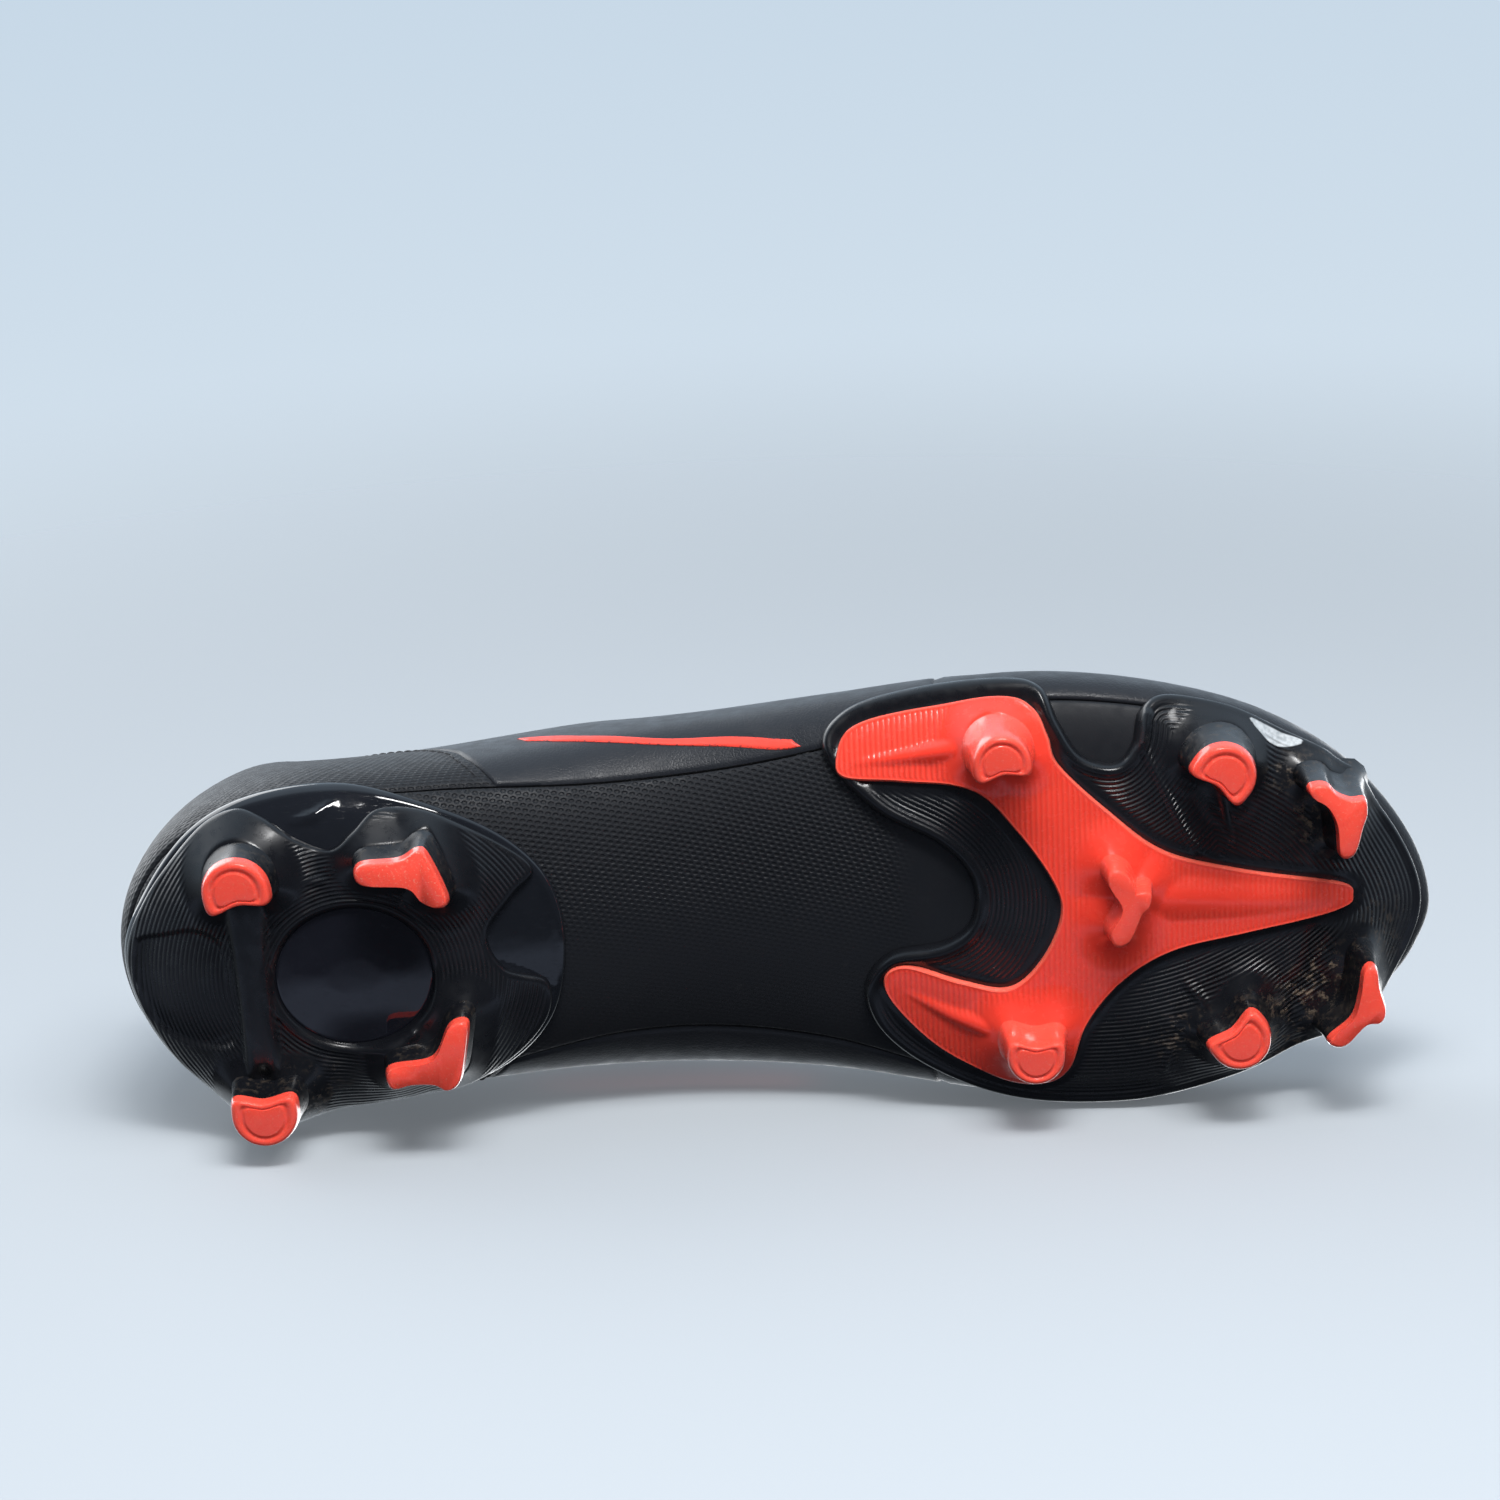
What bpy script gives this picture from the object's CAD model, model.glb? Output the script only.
"""Looks of the soccer cleat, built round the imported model. Tables and sizes are in millimetres in
the shoe's own frame, which SIDE_SHIFT moves sideways into the model's. +X points to the toe, +Y to
the medial side and +Z up.

The last surface is the one the solids were made on: u runs round the shoe from the heel along the
lateral side to the toe and back, and t from the keel line under the foot (-1) over the widest line
(0) to the edge of the collar or throat, or to the ridge of the vamp (1).
"""
import math

import bmesh
import bpy
import numpy as np
from mathutils import Matrix, Vector
from mathutils.geometry import delaunay_2d_cdt


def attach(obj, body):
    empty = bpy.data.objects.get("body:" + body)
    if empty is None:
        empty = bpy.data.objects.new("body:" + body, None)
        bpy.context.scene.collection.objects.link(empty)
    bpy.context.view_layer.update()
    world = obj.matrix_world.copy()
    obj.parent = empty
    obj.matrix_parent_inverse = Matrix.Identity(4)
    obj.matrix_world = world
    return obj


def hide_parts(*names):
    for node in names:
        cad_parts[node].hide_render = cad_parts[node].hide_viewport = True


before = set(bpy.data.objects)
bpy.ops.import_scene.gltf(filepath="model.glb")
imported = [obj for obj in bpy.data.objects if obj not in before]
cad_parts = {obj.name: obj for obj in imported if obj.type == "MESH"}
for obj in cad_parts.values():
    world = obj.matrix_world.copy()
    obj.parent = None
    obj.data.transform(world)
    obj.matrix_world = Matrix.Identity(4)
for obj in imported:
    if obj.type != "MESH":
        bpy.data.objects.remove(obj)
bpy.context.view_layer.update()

MM = 0.001
SIDE_SHIFT = 6.5
HEEL_CENTRE, TOE_CENTRE = -108.0, 98.0
THROAT_FRONT, THROAT_TOP = 46.0, -50.0
SKIN = 1.6

BELT = (
    (-145, 0), (-141, -16), (-129, -29), (-107, -36.5), (-76, -38), (-46, -40), (-16, -43),
    (14, -48), (40, -52.5), (62, -54), (86, -51), (108, -44), (127, -31.5), (140, -15), (145, 0),
    (142.5, 10), (136, 19), (122, 29), (104, 37), (84, 41.5), (62, 42), (38, 40), (12, 37),
    (-16, 36), (-46, 35.5), (-76, 36), (-107, 36.5), (-129, 29), (-141, 16),
)
CORNERS, TOE_INDEX = len(BELT), 14
SPINE_Y = ((-108, 0), (-46, -2.5), (14, -5.5), (62, -6), (98, -3))
KEEL_Z = ((-145, 18), (-125, 16.2), (-80, 16.2), (-50, 20.5), (-20, 24.5), (10, 22.5), (40, 17.5),
          (66, 15), (92, 15), (118, 19), (145, 28))
BELT_Z = ((-145, 36), (-100, 36), (-60, 42), (-20, 45), (20, 39), (60, 31), (100, 30), (145, 34))
RIDGE_Z = ((-145, 85), (-130, 80), (-108, 72), (-92, 71), (-72, 78), (-50, 91), (-25, 84), (5, 75),
           (30, 66), (46, 61.5), (70, 55.5), (95, 50), (120, 46.5), (145, 45))
MOUTH_HALF = ((-145, 29.5), (-90, 29.5), (-70, 27), (-50, 20), (-25, 17), (10, 14.5), (34, 12),
              (42, 8), (46, 0), (145, 0))
BOTTOM_SQUARENESS = ((-145, 3.2), (-90, 3.2), (-50, 2.3), (-10, 2.1), (30, 2.5), (60, 3),
                     (145, 2.7))
TOP_SQUARENESS = ((-145, 2), (40, 2), (80, 2.2), (145, 2.3))
COLLAR_WALL = ((-145, 1), (-85, 1), (-55, 0.4), (-35, 0), (145, 0))
SEAM_LATERAL = ((-145, -0.3), (-80, -0.32), (-35, -0.42), (10, -0.42), (50, -0.3), (145, -0.3))
SEAM_MEDIAL = ((-145, -0.3), (-80, -0.36), (-35, -0.52), (10, -0.48), (50, -0.32), (145, -0.3))

# Outlines of the sole plates, seen from above.
HEEL_OUTLINE = (
    (-143.5, 0), (-138, -15), (-127, -29), (-112, -36), (-92, -37.5), (-72, -32), (-57, -24),
    (-48, -13), (-46, 2), (-50, 18), (-62, 30), (-80, 36), (-106, 38), (-126, 32), (-138, 18),
)
HEEL_RIBBED_OUTLINE = (
    (-143, 0), (-137.5, -15), (-126, -29), (-117, -34), (-110, -32.5), (-103, -28), (-96, -25.5),
    (-91, -29), (-85, -33.5), (-74, -32), (-60, -25), (-52, -18), (-57, -12), (-62.5, -4),
    (-59, 4), (-50, 8), (-51, 18), (-62, 29), (-80, 35), (-106, 37), (-126, 31), (-137.5, 17),
)
WINDOW_CENTRE, WINDOW_RADII = (-92, 3.5), (17.0, 15.5)
FOREFOOT_OUTLINE = (
    (11, -40), (16, -48.5), (32, -53.5), (50, -56), (59, -54.5), (62.5, -47), (67, -40), (74, -38),
    (78, -42), (80, -49), (86, -52), (99, -48.6), (113, -42), (126.5, -32), (137.5, -17.5),
    (143.2, -3), (141, 9), (133.5, 19), (117, 29.5), (97, 38), (76, 42), (52, 41), (34, 34),
    (22, 24), (18.5, 13), (24, 5), (36, 2), (42, -3), (42.5, -12), (36, -20), (22, -27.5),
)
FORK_OUTLINE = (
    (14, -38.5), (17.5, -45), (30, -49), (50, -52), (57, -50), (60, -44), (62, -38), (72, -28),
    (84, -18.5), (100, -13.5), (123, -8), (126.5, -4.5), (123, -1.5), (102, 1.5), (86, 4.5),
    (75, 11), (67, 21), (63.5, 31), (58, 35), (48, 34), (35, 27), (25, 16.5), (23, 10), (28, 7),
    (40, 10.5), (50, 12), (57, 6), (61.5, -4), (60, -12), (52, -24), (43, -32.5), (28, -34),
    (16, -34.5),
)
ROUND_STUDS = (  # name, centre, radius, heading of the hollow side in degrees
    ("heel_lateral_rear", (-115, -20), 7.3, 80),
    ("heel_medial_rear", (-112, 30), 7.3, -92),
    ("forefoot_lateral_mid", (96, -37.5), 7.0, 128),
    ("forefoot_medial_mid", (99, 21.5), 6.8, -128),
)
BLADE_STUDS = (
    ("heel_lateral_front", (
        (-88.5, -25.2), (-80, -26), (-76.2, -28), (-73.8, -27), (-69.8, -17), (-71.7, -15),
        (-75, -16.3), (-78.5, -19.8), (-88.5, -21))),
    ("heel_medial_front", (
        (-84.7, 20.7), (-76.8, 19.5), (-73.9, 17.5), (-71.4, 12), (-68.7, 10.4), (-67, 11.5),
        (-67.9, 18), (-69.4, 24.3), (-72.2, 26.2), (-75, 24.8), (-80, 24.6), (-84.6, 25.2))),
    ("forefoot_lateral_front", (
        (114.6, -34), (118, -34.2), (120.3, -32), (123.4, -30.6), (126.4, -30.6), (126.9, -27.3),
        (126, -24.4), (124.4, -18.8), (122.4, -17.4), (120.9, -18.6), (120.3, -25), (118, -29.6),
        (114.6, -32))),
    ("forefoot_medial_front", (
        (126, 8.3), (127.5, 6.5), (129, 7.8), (129.6, 12), (130.9, 17), (129.8, 19.7),
        (126.6, 20.2), (122, 24.7), (119, 24.6), (118.8, 22.8), (123.6, 18.6), (125.3, 13.3))),
)
# Heights of the stripes' edges on the last, lower and upper, along the shoe.
STRIPE_EDGES = {
    "lateral": (((-56, 0.075), (-50, 0.015), (-37, -0.125), (-24, -0.235), (-8, -0.325), (3, -0.39),
                 (9, -0.385)),
                ((-56, 0.12), (-48, 0.06), (-42, 0.005), (-24, -0.18), (-8, -0.255), (4, -0.335),
                 (9, -0.36))),
    "medial": (((-56, 0.09), (-40, 0.03), (9, 0.0)), ((-56, 0.13), (-40, 0.09), (9, 0.11))),
}
FORK_ROUND_STUDS = (((49, -42), 6.4, 82), ((55, 23.5), 6.4, -88))
FORK_MID_STUD = ((76.5, -9), ((73, -16), (78.5, -11), (73.5, -2.5)))
STUD_TIP_HEIGHT, TOE_STUD_LIFT = 3.2, 2.5
EYELET_X, EYELET_T, EYELET_RADIUS = (36, 22, 8, -6, -20, -34), 0.8, 1.9
# Edges between upper panels, as x at the bottom and at the top.
HEEL_SEAM_X, VAMP_SEAM_X = (-60, -92), (34, 43)
STRIPE_ENDS = ((-54, -56), (7, 5))
EYESTAY_STITCH_T, EYESTAY_LIFT = (0.69, 0.945), 0.85
TONGUE_BASE_X, TONGUE_TOP_REACH = 54, (-14, 17)
TONGUE_HALF = ((-50, 17), (-38, 21), (0, 20), (30, 18), (54, 15))


# ---------------------------------------------------------------- curves and the last surface
def along(table, x):
    """A smooth curve through the table's points, level with its end values beyond them."""
    xs, ys = np.array(table, float).T
    k = np.arange(len(xs))
    low, high = np.maximum(k - 1, 0), np.minimum(k + 1, len(xs) - 1)
    slope = (ys[high] - ys[low]) / (xs[high] - xs[low])
    x = np.clip(np.asarray(x, float), xs[0], xs[-1])
    i = np.clip(np.searchsorted(xs, x, side="right") - 1, 0, len(xs) - 2)
    span = xs[i + 1] - xs[i]
    s = (x - xs[i]) / span
    return (ys[i] * (1 + 2 * s) * (1 - s) ** 2 + slope[i] * span * s * (1 - s) ** 2
            + ys[i + 1] * s * s * (3 - 2 * s) + slope[i + 1] * span * s * s * (s - 1))


def closed_curve(points, u):
    """Points at u of a smooth closed curve, one unit of u between two of its corners."""
    corners = np.asarray(points, float)
    u = np.asarray(u, float)
    k = np.floor(u).astype(int)
    s = (u - k)[..., None]
    a, b, c, d = (corners[(k + step) % len(corners)] for step in (-1, 0, 1, 2))
    return 0.5 * (2 * b + (c - a) * s + (2 * a - 5 * b + 4 * c - d) * s * s
                  + (3 * b - a - 3 * c + d) * s ** 3)


def even_loop(points, step):
    """A smooth closed curve through the corners, as points about step apart."""
    dense = closed_curve(points, np.linspace(0, len(points), len(points) * 24, endpoint=False))
    gaps = np.linalg.norm(np.roll(dense, -1, 0) - dense, axis=1)
    reach = np.concatenate([[0], np.cumsum(gaps)])
    where = np.linspace(0, reach[-1], max(int(reach[-1] / step), 8), endpoint=False)
    wrapped = np.vstack([dense, dense[:1]])
    return np.stack([np.interp(where, reach, wrapped[:, i]) for i in range(2)], axis=1)


DENSE_U = np.linspace(0, CORNERS, CORNERS * 40 + 1)
DENSE_BELT = closed_curve(BELT, DENSE_U)
LATERAL_PART = DENSE_U <= TOE_INDEX
MEDIAL_PART = DENSE_U >= TOE_INDEX


def u_at(x, side):
    """Where the belt passes x on the lateral or the medial side."""
    if side == "lateral":
        return np.interp(x, DENSE_BELT[LATERAL_PART, 0], DENSE_U[LATERAL_PART])
    return np.interp(x, DENSE_BELT[MEDIAL_PART, 0][::-1], DENSE_U[MEDIAL_PART][::-1])


def seam_t(u):
    """Height of the seam between the underfoot wrap and the side panels."""
    x = closed_curve(BELT, u)[..., 0]
    lateral = np.asarray(u) % CORNERS <= TOE_INDEX
    return np.where(lateral, along(SEAM_LATERAL, x), along(SEAM_MEDIAL, x))


def last(u, t):
    """Points of the last surface. Past t = 1 it carries on up the collar wall."""
    u, t = np.broadcast_arrays(np.asarray(u, float), np.asarray(t, float))
    belt = closed_curve(BELT, u)
    ox, oy = belt[..., 0], belt[..., 1]
    rx = np.clip(ox, HEEL_CENTRE, TOE_CENTRE)
    ry = along(SPINE_Y, rx)
    belt_z = along(BELT_Z, ox)
    angle = (np.clip(t, -1, 0) + 1) * math.pi / 2
    power = 2 / along(BOTTOM_SQUARENESS, ox)
    reach = np.sin(angle) ** power
    low_x, low_y = rx + (ox - rx) * reach, ry + (oy - ry) * reach
    keel = along(KEEL_Z, low_x)
    low_z = keel + (belt_z - keel) * (1 - np.maximum(np.cos(angle), 0) ** power)
    mouth = np.minimum(along(MOUTH_HALF, ox) / np.hypot(ox - rx, oy - ry), 1)
    angle = np.clip(t, 0, 1) * math.pi / 2
    power = 2 / along(TOP_SQUARENESS, ox)
    wall = along(COLLAR_WALL, ox)
    high_t = np.maximum(t, 0)
    reach = wall * high_t ** 1.6 + (1 - wall) * (1 - np.maximum(np.cos(angle), 0) ** power)
    rise = wall * high_t + (1 - wall) * (np.sin(angle) ** power + np.maximum(t - 1, 0))
    high_x = ox + ((rx - ox) * (1 - mouth)) * reach
    high_y = oy + ((ry - oy) * (1 - mouth)) * reach
    top = along(RIDGE_Z, np.where(ox > THROAT_FRONT, high_x, ox))
    high_z = belt_z + (top - belt_z) * rise
    under = t <= 0
    return np.stack([np.where(under, low_x, high_x), np.where(under, low_y, high_y),
                     np.where(under, low_z, high_z)], axis=-1)


def last_normal(u, t):
    """Outward unit normals of the last surface."""
    round_u = last(u + 0.02, t) - last(u - 0.02, t)
    up_t = last(u, np.maximum(t + 0.01, -0.97)) - last(u, np.maximum(t - 0.01, -0.99))
    normal = np.cross(round_u, up_t)
    return normal / np.maximum(np.linalg.norm(normal, axis=-1, keepdims=True), 1e-9)


def fan_table(centre, turn):
    """(headings, u) of the belt seen from the end of the spine at the toe or the heel."""
    if turn:
        u = np.linspace(u_at(centre, "medial") - CORNERS, u_at(centre, "lateral"), 400)
    else:
        u = np.linspace(u_at(centre, "lateral"), u_at(centre, "medial"), 400)
    belt = closed_curve(BELT, u)
    heading = np.arctan2(belt[:, 1] - along(SPINE_Y, centre), belt[:, 0] - centre) - turn
    return (heading + math.pi) % math.tau - math.pi, u


TOE_FAN, HEEL_FAN = fan_table(TOE_CENTRE, 0.0), fan_table(HEEL_CENTRE, math.pi)


def sole_z(x, y):
    """Height of the last surface's under side over (x, y)."""
    rx = np.clip(x, HEEL_CENTRE, TOE_CENTRE)
    ry = along(SPINE_Y, rx)
    u = np.where(y < ry, u_at(x, "lateral"), u_at(x, "medial"))
    for beyond, (headings, us), turn in ((x > TOE_CENTRE, TOE_FAN, 0.0),
                                         (x < HEEL_CENTRE, HEEL_FAN, math.pi)):
        aim = (np.arctan2(y - ry, x - rx) - turn + math.pi) % math.tau - math.pi
        u = np.where(beyond, np.interp(aim, headings, us), u)
    belt = closed_curve(BELT, u)
    ox, oy = belt[..., 0], belt[..., 1]
    ratio = np.hypot(x - rx, y - ry) / np.hypot(ox - rx, oy - ry)
    square = along(BOTTOM_SQUARENESS, ox)
    inner = np.minimum(ratio, 0.965)
    keel = along(KEEL_Z, x)
    rise = 1 - (1 - inner ** square) ** (1 / square)
    steep = inner ** (square - 1) * (1 - inner ** square) ** (1 / square - 1)
    return keel + (along(BELT_Z, ox) - keel) * (rise + steep * (ratio - inner))


def sole_normal(x, y):
    d = 0.15
    slope_x = (sole_z(x + d, y) - sole_z(x - d, y)) / (2 * d)
    slope_y = (sole_z(x, y + d) - sole_z(x, y - d)) / (2 * d)
    normal = np.stack([slope_x, slope_y, -np.ones_like(slope_x)], axis=-1)
    return normal / np.linalg.norm(normal, axis=-1, keepdims=True)


def on_sole(x, y, depth, nominal=2.8):
    """Points at a distance out from the last surface. (x, y) is where a point lies when that
    distance is the nominal one."""
    px, py = x.copy(), y.copy()
    for _ in range(4):
        normal = sole_normal(px, py)
        px, py = x - normal[..., 0] * nominal, y - normal[..., 1] * nominal
    base = np.stack([px, py, sole_z(px, py)], axis=-1)
    return base + sole_normal(px, py) * np.asarray(depth)[..., None]


# ---------------------------------------------------------------- meshes
def smooth_step(value, low, high):
    s = np.clip((value - low) / (high - low), 0, 1)
    return s * s * (3 - 2 * s)


def make_mesh(name, points, faces, look, sharp=None, fields=None):
    """An object of points in millimetres in the shoe's own frame, with float attributes."""
    points = (np.asarray(points, float).reshape(-1, 3) + (0, SIDE_SHIFT, 0)) * MM
    mesh = bpy.data.meshes.new(name)
    mesh.from_pydata(points.tolist(), [], [list(map(int, f)) for f in faces])
    for field, values in (fields or {}).items():
        made = mesh.attributes.new(field, "FLOAT", "POINT")
        made.data.foreach_set("value", np.asarray(values, np.float32).reshape(-1))
    mesh.materials.append(look)
    mesh.validate()
    mesh.shade_smooth()
    if sharp:
        mesh.set_sharp_from_angle(angle=math.radians(sharp))
    obj = bpy.data.objects.new(name, mesh)
    bpy.context.scene.collection.objects.link(obj)
    return obj


def piece(obj, body, slot, *nodes):
    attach(obj, body)
    if nodes:
        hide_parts(*nodes)
    return obj


def inside(points, loop):
    """Whether each point lies in the closed loop."""
    x, y = points[:, 0][:, None], points[:, 1][:, None]
    ax, ay = loop[:, 0], loop[:, 1]
    bx, by = np.roll(ax, -1), np.roll(ay, -1)
    spans = (ay > y) != (by > y)
    with np.errstate(divide="ignore", invalid="ignore"):
        cross = x < (bx - ax) * (y - ay) / (by - ay) + ax
    return (spans & cross).sum(axis=1) % 2 == 1


def loop_distance(x, y, loop):
    """Distance of points from a closed loop's line."""
    a, b = loop, np.roll(loop, -1, 0)
    ab = b - a
    length = np.maximum((ab ** 2).sum(1), 1e-9)
    shape, found = np.shape(x), []
    points = np.stack([np.ravel(x), np.ravel(y)], axis=1)
    for chunk in np.array_split(points, max(len(points) // 4000, 1)):
        ap = chunk[:, None, :] - a[None]
        s = np.clip((ap * ab).sum(2) / length, 0, 1)
        found.append(np.sqrt(((ap - s[..., None] * ab) ** 2).sum(2)).min(1))
    return np.concatenate(found).reshape(shape)


def line_distance(x, y, points):
    """(distance, place along from 0 to 1) of points from an open line."""
    points = np.asarray(points, float)
    spans = np.linalg.norm(np.diff(points, axis=0), axis=1)
    starts = np.concatenate([[0], np.cumsum(spans)])
    best, place = np.full(np.shape(x), 1e9), np.zeros(np.shape(x))
    for (ax, ay), (bx, by), start, span in zip(points, points[1:], starts, spans):
        s = np.clip(((x - ax) * (bx - ax) + (y - ay) * (by - ay)) / span ** 2, 0, 1)
        d = np.hypot(x - ax - s * (bx - ax), y - ay - s * (by - ay))
        place = np.where(d < best, (start + s * span) / starts[-1], place)
        best = np.minimum(best, d)
    return best, place


def offset_loop(loop, amount):
    """The loop moved inwards along its own normals."""
    ahead, behind = np.roll(loop, -1, 0), np.roll(loop, 1, 0)
    direction = ahead - behind
    direction /= np.linalg.norm(direction, axis=1, keepdims=True)
    turned = np.stack([-direction[:, 1], direction[:, 0]], axis=1)
    area = (loop[:, 0] * ahead[:, 1] - ahead[:, 0] * loop[:, 1]).sum()
    return loop + turned * (amount if area > 0 else -amount)


RIM_STEPS = (0.2, 0.5, 0.9, 1.4, 2.0, 2.8)


def plate(name, outline, spacing, height, inner, look, fields=None, holes=(),
          nominal=2.8):
    """A closed plate on the sole. height(x, y, d) gives how far its outer face stands out from the
    last surface, where d is the distance to the nearest edge."""
    loops = [even_loop(outline, spacing * 0.8)] + [even_loop(hole, spacing * 0.8) for hole in holes]
    edge = np.vstack(loops)

    def distance(points):
        return np.min([loop_distance(points[:, 0], points[:, 1], loop) for loop in loops], axis=0)

    def within(points):
        kept = inside(points, loops[0])
        for loop in loops[1:]:
            kept &= ~inside(points, loop)
        return kept

    extra = []
    for i, loop in enumerate(loops):
        for step in RIM_STEPS:
            moved = offset_loop(loop, step if i == 0 else -step)
            moved = moved[within(moved)]
            extra.append(moved[distance(moved) > step * 0.96])
    low, high = loops[0].min(0), loops[0].max(0)
    xs = np.arange(low[0], high[0], spacing)
    ys = np.arange(low[1], high[1], spacing * 0.866)
    gx, gy = np.meshgrid(xs, ys)
    gx = gx + (np.arange(len(ys)) % 2)[:, None] * spacing / 2
    grid = np.stack([gx.ravel(), gy.ravel()], axis=1)
    grid = grid[within(grid)]
    grid = grid[distance(grid) > RIM_STEPS[-1] + spacing * 0.5]
    flat = np.vstack([edge, *extra, grid])
    edges, start = [], 0
    for loop in loops:
        ends = np.arange(len(loop))
        edges += [(int(start + a), int(start + (a + 1) % len(loop))) for a in ends]
        start += len(loop)
    verts, _, faces, *_ = delaunay_2d_cdt([Vector(p) for p in flat.tolist()], edges, [], 0, 1e-5)
    flat = np.array([tuple(v) for v in verts])
    tris = np.array([f for f in faces if len(f) == 3])
    middle = flat[tris].mean(axis=1)
    tris = tris[within(middle)]
    used = np.unique(tris)
    remap = np.full(len(flat), -1)
    remap[used] = np.arange(len(used))
    flat, tris = flat[used], remap[tris]
    a, b, c = (flat[tris[:, i]] for i in range(3))
    area = (b[:, 0] - a[:, 0]) * (c[:, 1] - a[:, 1]) - (b[:, 1] - a[:, 1]) * (c[:, 0] - a[:, 0])
    tris = tris[np.abs(area) > 1e-7]
    turned = area[np.abs(area) > 1e-7] > 0
    tris[turned] = tris[turned][:, ::-1]
    x, y = flat[:, 0], flat[:, 1]
    d = distance(flat)
    outer = on_sole(x, y, np.maximum(height(x, y, d), inner + 0.05), nominal)
    back = on_sole(x, y, np.full(len(x), inner), nominal)
    n = len(flat)
    pairs = np.concatenate([tris[:, [0, 1]], tris[:, [1, 2]], tris[:, [2, 0]]])
    key = np.sort(pairs, axis=1)
    _, index, count = np.unique(key, axis=0, return_inverse=True, return_counts=True)
    rim = pairs[count[index.reshape(-1)] == 1]
    sides = [(b, a, a + n, b + n) for a, b in rim]
    faces = tris.tolist() + (tris[:, ::-1] + n).tolist() + sides
    made = {key: np.concatenate([values, values]) for key, values in
            (fields(x, y, d) if fields else {}).items()}
    return make_mesh(name, np.vstack([outer, back]), faces, look, 60, made)


# ---------------------------------------------------------------- materials
def add_node(tree, kind, inputs=None, **settings):
    """A node whose inputs are values, or sockets to link from."""
    made = tree.nodes.new(kind)
    for key, value in settings.items():
        setattr(made, key, value)
    for key, value in (inputs or {}).items():
        if isinstance(value, bpy.types.NodeSocket):
            tree.links.new(value, made.inputs[key])
        else:
            made.inputs[key].default_value = value
    return made


def maths(tree, operation, *values):
    made = tree.nodes.new("ShaderNodeMath")
    made.operation = operation
    for i, value in enumerate(values):
        if isinstance(value, bpy.types.NodeSocket):
            tree.links.new(value, made.inputs[i])
        else:
            made.inputs[i].default_value = value
    return made.outputs[0]


def field(tree, name):
    return add_node(tree, "ShaderNodeAttribute", attribute_name=name).outputs["Fac"]


def place(tree, stretch=(1, 1, 1)):
    """Object coordinates in millimetres."""
    coordinates = add_node(tree, "ShaderNodeTexCoord").outputs["Object"]
    return add_node(tree, "ShaderNodeMapping", {"Vector": coordinates,
                    "Scale": tuple(1000 * s for s in stretch)}).outputs["Vector"]


def noise(tree, per_mm, detail=2.0, stretch=(1, 1, 1), rough=0.5):
    return add_node(tree, "ShaderNodeTexNoise", {"Vector": place(tree, stretch), "Scale": per_mm,
                    "Detail": detail, "Roughness": rough}).outputs["Fac"]


def ramp(tree, value, low, high, out_low=0.0, out_high=1.0):
    return add_node(tree, "ShaderNodeMapRange", {"Value": value, "From Min": low, "From Max": high,
                    "To Min": out_low, "To Max": out_high}, interpolation_type="SMOOTHSTEP"
                    ).outputs["Result"]


def mix_colour(tree, share, a, b):
    made = add_node(tree, "ShaderNodeMix", data_type="RGBA")
    for key, value in ((0, share), (6, a), (7, b)):
        if isinstance(value, bpy.types.NodeSocket):
            tree.links.new(value, made.inputs[key])
        else:
            made.inputs[key].default_value = value if key == 0 else (*value[:3], 1)
    return made.outputs[2]


def principled(name, **values):
    """A material, its node tree and its shader, with constants set on the shader's sockets."""
    made = bpy.data.materials.new(name)
    made.use_nodes = True
    shader = made.node_tree.nodes["Principled BSDF"]
    for key, value in values.items():
        socket = shader.inputs[key.replace("_", " ")]
        socket.default_value = (*value, 1.0) if len(np.shape(value)) and len(value) == 3 and \
            socket.type == "RGBA" else value
    return made, made.node_tree, shader


def surface_look(tree, shader, base, rough):
    tree.links.new(base, shader.inputs["Base Color"])
    tree.links.new(rough, shader.inputs["Roughness"])


def bumps(tree, shader, *heights):
    """Chains bumps, each (height socket, depth in mm, strength)."""
    normal = None
    for height, depth, strength in heights:
        inputs = {"Height": height, "Distance": depth * MM, "Strength": strength}
        if normal is not None:
            inputs["Normal"] = normal
        normal = add_node(tree, "ShaderNodeBump", inputs).outputs["Normal"]
    tree.links.new(normal, shader.inputs["Normal"])


def waves(tree, value, pitch):
    """0 to 1 and back once each pitch."""
    turn = maths(tree, "MULTIPLY", value, math.tau / pitch)
    return maths(tree, "MULTIPLY_ADD", maths(tree, "SINE", turn), 0.5, 0.5)


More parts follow.
